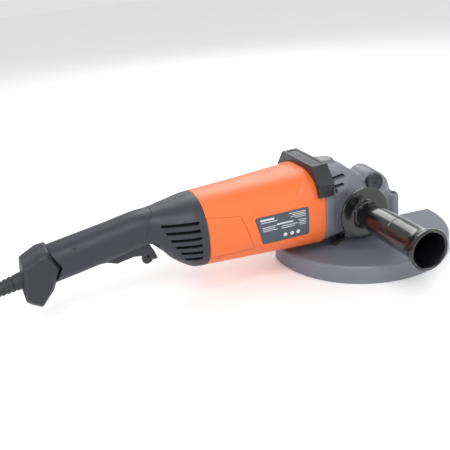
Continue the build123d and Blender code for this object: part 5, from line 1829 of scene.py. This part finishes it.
            # small pocket between the bumper's leg and the slots
            pocket = [(-66.5, 92.0), (-62.5, 92.0), (-62.5, 97.0), (-66.5, 97.0)]
            made.append(slab("cutter", rounded_path(pocket, 0.8), side * 40.0, side * 60.0))
            x, z = self.side_socket
            made.append(bar("cutter", (x, side * 40.8, z), (0, side, 0), 14.0, 6.1, 0.05))
        top_x, top_z = self.top_socket
        made.append(bar("cutter", (top_x, 0, top_z - 13.0), (0, 0, 1), 14.0, 6.0, 0.05))
        made.append(bar("cutter", (0, -27.8, self.button_z), (0, -1, 0), 22.0, 12.9, 0.05))
        chamber = [(0, 0), (0, 33.6), (38, 33.6), (38, 0)]
        made.append(turn("cutter", chamber, (0, 0, self.bottom - 1.0), (0, 0, 1), 64))
        fan = [(0, 0), (0, 47.0), (17, 47.0), (17, 0)]
        made.append(turn("cutter", fan, (-82.0, 0, 69.0), (1, 0, 0), 64))
        return made

    def screw_heads(self) -> None:
        """Round screw heads with a cross recess on the four lugs."""
        heads = []
        for bearing in self.bearings:
            angle = math.radians(bearing)
            x, y = self.lug_circle * math.cos(angle), self.lug_circle * math.sin(angle)
            z = self.lug_top - 0.8
            head = bar("head", (x, y, z), (0, 0, 1), self.head_h, self.head_r, 0.7)
            for half_x, half_y in ((2.0, 0.4), (0.4, 2.0)):
                outline = [(x + a * half_x, y + b * half_y) for a, b in ((-1, -1), (1, -1), (1, 1), (-1, 1))]
                carve(head, [slab("cutter", outline, z + 0.9, z + 3.0, "XY")])
            heads.append(head)
        screws = join(heads)
        screws.name = "gear_case_screw_heads"
        settle(screws, 30)
        place_piece(screws, "root", Finishes.BLACK_STEEL)


@dataclass
class LockButton:
    """Round spindle-lock button: dished cap with a small centre dot.

    Attributes:
        radius: Outside radius.
        face_y: Place of its outer face.
        inner_y: Place of its rear face.
        centre_z: Height of its axis.
    """

    radius: float = 12.3
    face_y: float = -41.0
    inner_y: float = -33.0
    centre_z: float = 88.0

    def build(self) -> None:
        """Turn the button about its own axis."""
        long = self.inner_y - self.face_y
        profile = [
            (0.0, 0.0),
            (0.0, self.radius),
            (long - 1.4, self.radius),
            (long - 0.5, self.radius - 0.4),
            (long, self.radius - 1.4),
            (long - 0.15, self.radius - 2.2),
            (long - 1.0, self.radius - 5.0),
            (long - 1.5, 3.0),
            (long - 1.55, 1.7),
            (long - 2.6, 1.4),
            (long - 2.6, 0.0),
        ]
        button = turn("spindle_lock_button", profile, (0, self.inner_y, self.centre_z), (0, -1, 0), 80)
        settle(button, 40)
        place_piece(button, "lock_button", Finishes.CAP_NYLON, ["lock_button"])


# ------------------------------------------------------------------------------------------ guard
@dataclass
class Guard:
    """Drawn steel guard: flat top, round shoulder, skirt with a folded rim, open in front.

    Attributes:
        radius: Outside radius.
        top: Height of the upper face.
        bottom: Height of the rim.
        sheet: Thickness of the sheet.
        shoulder: Bending radius between top and skirt.
        chord: Distance of the open edge from the spindle.
        turn_deg: Turn of the guard about the spindle.
        tab_r: Radius of the plate around the collar.
        neck_r: Radius of the opening for the neck.
    """

    radius: float = 121.0
    top: float = 11.3
    bottom: float = -14.0
    sheet: float = 2.0
    shoulder: float = 4.5
    chord: float = 12.0
    turn_deg: float = -5.5
    tab_r: float = 44.0
    neck_r: float = 31.4

    def build(self) -> None:
        """Turn the drawn form, cut its open edge and fold its rim."""
        shell = turn("guard_drawn_shell", self.profile(), (0, 0, 0), (0, 0, 1), 240)
        shell = self.clip(shell)
        settle(shell, 30)
        place_piece(shell, "guard", Finishes.POWDER_COAT, ["guard_shell"])

    def profile(self) -> list[Flat]:
        """Closed section through the sheet, as height and radius."""
        outer: list[Flat] = [(self.top - 0.35, self.neck_r), (self.top, self.neck_r + 0.4)]
        # shallow stiffening step around the collar
        outer += [(self.top, 50.0), (self.top - 0.3, 52.0), (self.top - 1.3, 56.0), (self.top - 1.6, 58.5)]
        plate = self.top - 1.6
        steps = 7
        for k in range(steps + 1):
            angle = math.pi / 2 * k / steps
            outer.append(
                (
                    plate - self.shoulder + self.shoulder * math.cos(angle),
                    self.radius - 0.6 - self.shoulder + self.shoulder * math.sin(angle),
                )
            )
        outer += [(self.bottom + 4.2, self.radius - 0.6), (self.bottom + 3.4, self.radius - 0.1)]
        outer += [(self.bottom + 0.8, self.radius), (self.bottom, self.radius - 0.9)]
        inner: list[Flat] = [(self.bottom, self.radius - 2.2), (self.bottom + 1.0, self.radius - 3.0)]
        inner += [(self.bottom + 3.8, self.radius - 3.0), (self.bottom + 4.6, self.radius - 2.6)]
        small = self.shoulder - self.sheet
        for k in range(steps + 1):
            angle = math.pi / 2 * (1 - k / steps)
            inner.append(
                (
                    plate - self.sheet - small + small * math.cos(angle),
                    self.radius - 0.6 - self.sheet - small + small * math.sin(angle),
                )
            )
        inner += [(plate - self.sheet, 58.5), (plate - self.sheet + 0.3, 56.0)]
        inner.append((self.top - self.sheet - 0.3, 52.0))
        inner += [(self.top - self.sheet, 50.0), (self.top - self.sheet, self.neck_r + 0.3)]
        return outer + inner

    def clip(self, shell: bpy.types.Object) -> bpy.types.Object:
        """Cut the open half away but leave the ring around the collar."""
        angle = math.radians(self.turn_deg)
        across = Vector((math.cos(angle), math.sin(angle)))
        ahead = Vector((-math.sin(angle), math.cos(angle)))
        base = ahead * self.chord
        wide = 2 * self.radius
        arc = []
        half = math.sqrt(self.tab_r**2 - self.chord**2)
        start = math.atan2(self.chord, half)
        for k in range(33):
            a = start + (math.pi - 2 * start) * k / 32
            arc.append(across * (self.tab_r * math.cos(a)) + ahead * (self.tab_r * math.sin(a)))
        side, far = across * wide, ahead * wide
        corners = [base + side, base + side + far, base - side + far, base - side]
        path = corners + arc[::-1]
        cutter = slab("cutter", [(p.x, p.y) for p in path], -40.0, 40.0, "XY")
        return carve(shell, [cutter])


# ------------------------------------------------------------------------------------------ side handle
@dataclass
class SideHandle:
    """Glossy screw-in side handle: shield, root collar, grip and flared end.

    Attributes:
        axis_x: Place of its axis along the tool.
        axis_z: Height of its axis.
        start_y: Inner end of the grip, at the socket's face.
        shield_y: Inner and outer face of the shield.
        shield_r: Radius of the shield.
        join_y: Joint between grip and flared end.
        lobes: Number of finger lobes in the root collar.
        lobe_depth: Depth of a lobe as a share of the radius.
    """

    axis_x: float = -36.0
    axis_z: float = 64.3
    start_y: float = -54.1
    shield_y: Flat = (-66.0, -72.3)
    shield_r: float = 34.0
    join_y: float = -140.0
    lobes: int = 6
    lobe_depth: float = 0.09

    def build(self) -> None:
        """Turn grip and end piece about the handle's axis."""
        base = (self.axis_x, 0.0, self.axis_z)
        grip = turn("side_handle_shield_and_grip", self.grip_profile(), base, (0, -1, 0), 160)
        self.press_lobes(grip)
        settle(grip, 32)
        place_piece(grip, "root", Finishes.GLOSS_BLACK, ["side_handle_grip"])
        end = turn("side_handle_flared_end", self.end_profile(), base, (0, -1, 0), 160)
        settle(end, 32)
        place_piece(end, "root", Finishes.GLOSS_BLACK, ["side_handle_end"])

    def grip_profile(self) -> list[Flat]:
        """Section of the grip as distance from the tool's middle and radius."""
        near, far = -self.shield_y[0], -self.shield_y[1]
        start = -self.start_y
        join_at = -self.join_y
        return [
            (start, 7.2),
            (start, 13.0),
            (start + 1.0, 13.9),
            (near - 6, 14.0),
            (near - 3.5, 16.0),
            (near - 1.0, 26.0),
            (near + 1.2, self.shield_r - 1.8),
            (near + 2.4, self.shield_r - 0.4),
            (near + 3.6, self.shield_r),
            (far - 1.2, self.shield_r),
            (far - 0.3, self.shield_r - 0.5),
            (far, self.shield_r - 1.5),
            (far - 0.2, 26.0),
            (far - 0.9, 20.5),
            (far - 0.5, 18.6),
            (far + 0.3, 18.0),
            (far + 2.4, 17.7),
            (far + 3.4, 17.0),
            (far + 3.8, 15.4),
            (far + 6.0, 15.0),
            (far + 12.0, 15.3),
            (far + 20.0, 16.1),
            (far + 30.0, 17.2),
            (far + 42.0, 17.9),
            (join_at - 4.0, 18.1),
            (join_at - 0.9, 18.1),
            (join_at - 0.2, 17.5),
            (join_at - 0.2, 12.0),
            (join_at + 11.8, 12.0),
            (join_at + 11.8, 0.0),
            (110.0, 0.0),
            (110.0, 7.2),
        ]

    def end_profile(self) -> list[Flat]:
        """Section of the flared end, as far out as the CAD piece."""
        join_at, end = -self.join_y, -extent("side_handle_end").low.y
        return [
            (join_at + 11.9, 0.0),
            (join_at + 11.9, 12.1),
            (join_at + 0.3, 12.1),
            (join_at + 0.3, 17.7),
            (join_at + 1.0, 18.5),
            (join_at + 6.0, 18.6),
            (join_at + 18.0, 18.5),
            (end - 24.0, 18.5),
            (end - 17.5, 19.2),
            (end - 12.0, 21.2),
            (end - 7.5, 23.7),
            (end - 4.0, 24.8),
            (end - 2.2, 25.0),
            (end - 0.8, 24.7),
            (end - 0.1, 23.8),
            (end - 0.1, 22.4),
            (end - 0.9, 21.2),
            (end - 3.0, 20.3),
            (end - 12.0, 17.6),
            (end - 26.0, 14.2),
            (end - 40.0, 11.6),
            (end - 41.6, 10.4),
            (end - 42.0, 8.5),
            (end - 42.0, 0.0),
        ]

    def press_lobes(self, grip: bpy.types.Object) -> None:
        """Press the finger lobes into the small collar at the root of the grip."""
        far = -self.shield_y[1]

        def work(net: bmesh.types.BMesh) -> None:
            """Draw the collar's corners in where a lobe lies."""
            for vert in net.verts:
                x, z = vert.co.x / MM - self.axis_x, vert.co.z / MM - self.axis_z
                along = -vert.co.y / MM
                radius = math.hypot(x, z)
                if far + 0.1 < along < far + 3.9 and 14.9 < radius < 18.3:
                    wave = 0.5 + 0.5 * math.cos(self.lobes * math.atan2(z, x))
                    scale = 1 - self.lobe_depth * wave * smoothstep(np.array(radius), 15.2, 17.6)
                    vert.co.x = (self.axis_x + x * float(scale)) * MM
                    vert.co.z = (self.axis_z + z * float(scale)) * MM

        edit(grip, work)


# ------------------------------------------------------------------------------------------ CAD pieces
SLOT_FINISH = {
    "orange_housing": Finishes.ORANGE_NYLON,
    "black_plastic": Finishes.BLACK_NYLON,
    "gear_case_grey": Finishes.CAST_ENAMEL,
    "guard_grey": Finishes.POWDER_COAT,
    "side_handle_black": Finishes.GLOSS_BLACK,
    "label_slate": Finishes.LABEL_FILM,
    "steel": Finishes.TURNED_STEEL,
    "black_steel": Finishes.BLACK_STEEL,
    "copper": Finishes.COPPER_WIRE,
    "laminations": Finishes.LAMINATIONS,
    "brass": Finishes.BRASS,
    "carbon": Finishes.CARBON,
    "cord_rubber": Finishes.RUBBER,
}


def dress_cad_nodes() -> None:
    """Give every CAD node that stays visible the finish of its material slot."""
    slots = {row["node"]: row["material_slot"] for row in frame["record"]["subparts"]}
    for name, node in frame["nodes"].items():
        finish = SLOT_FINISH[slots[name]].value.material()
        if not node.data.materials:
            node.data.materials.append(finish)
        for slot in node.material_slots:
            slot.material = finish


def main() -> None:
    """Build the studio, then each sub-assembly in order."""
    logging.basicConfig(level=logging.INFO, format="%(relativeCreated)7d ms  %(message)s")
    Studio().build()
    Cord().build()
    CordSleeve().build()
    dress_cad_nodes()
    for assembly in (
        MotorHousing(),
        Bumper(),
        RearHandle(),
        TailCap(),
        TriggerGroup(),
        GearCase(),
        LockButton(),
        Guard(),
        SideHandle(),
    ):
        LOG.info("building %s", type(assembly).__name__)
        assembly.build()


if __name__ == "__main__":
    main()
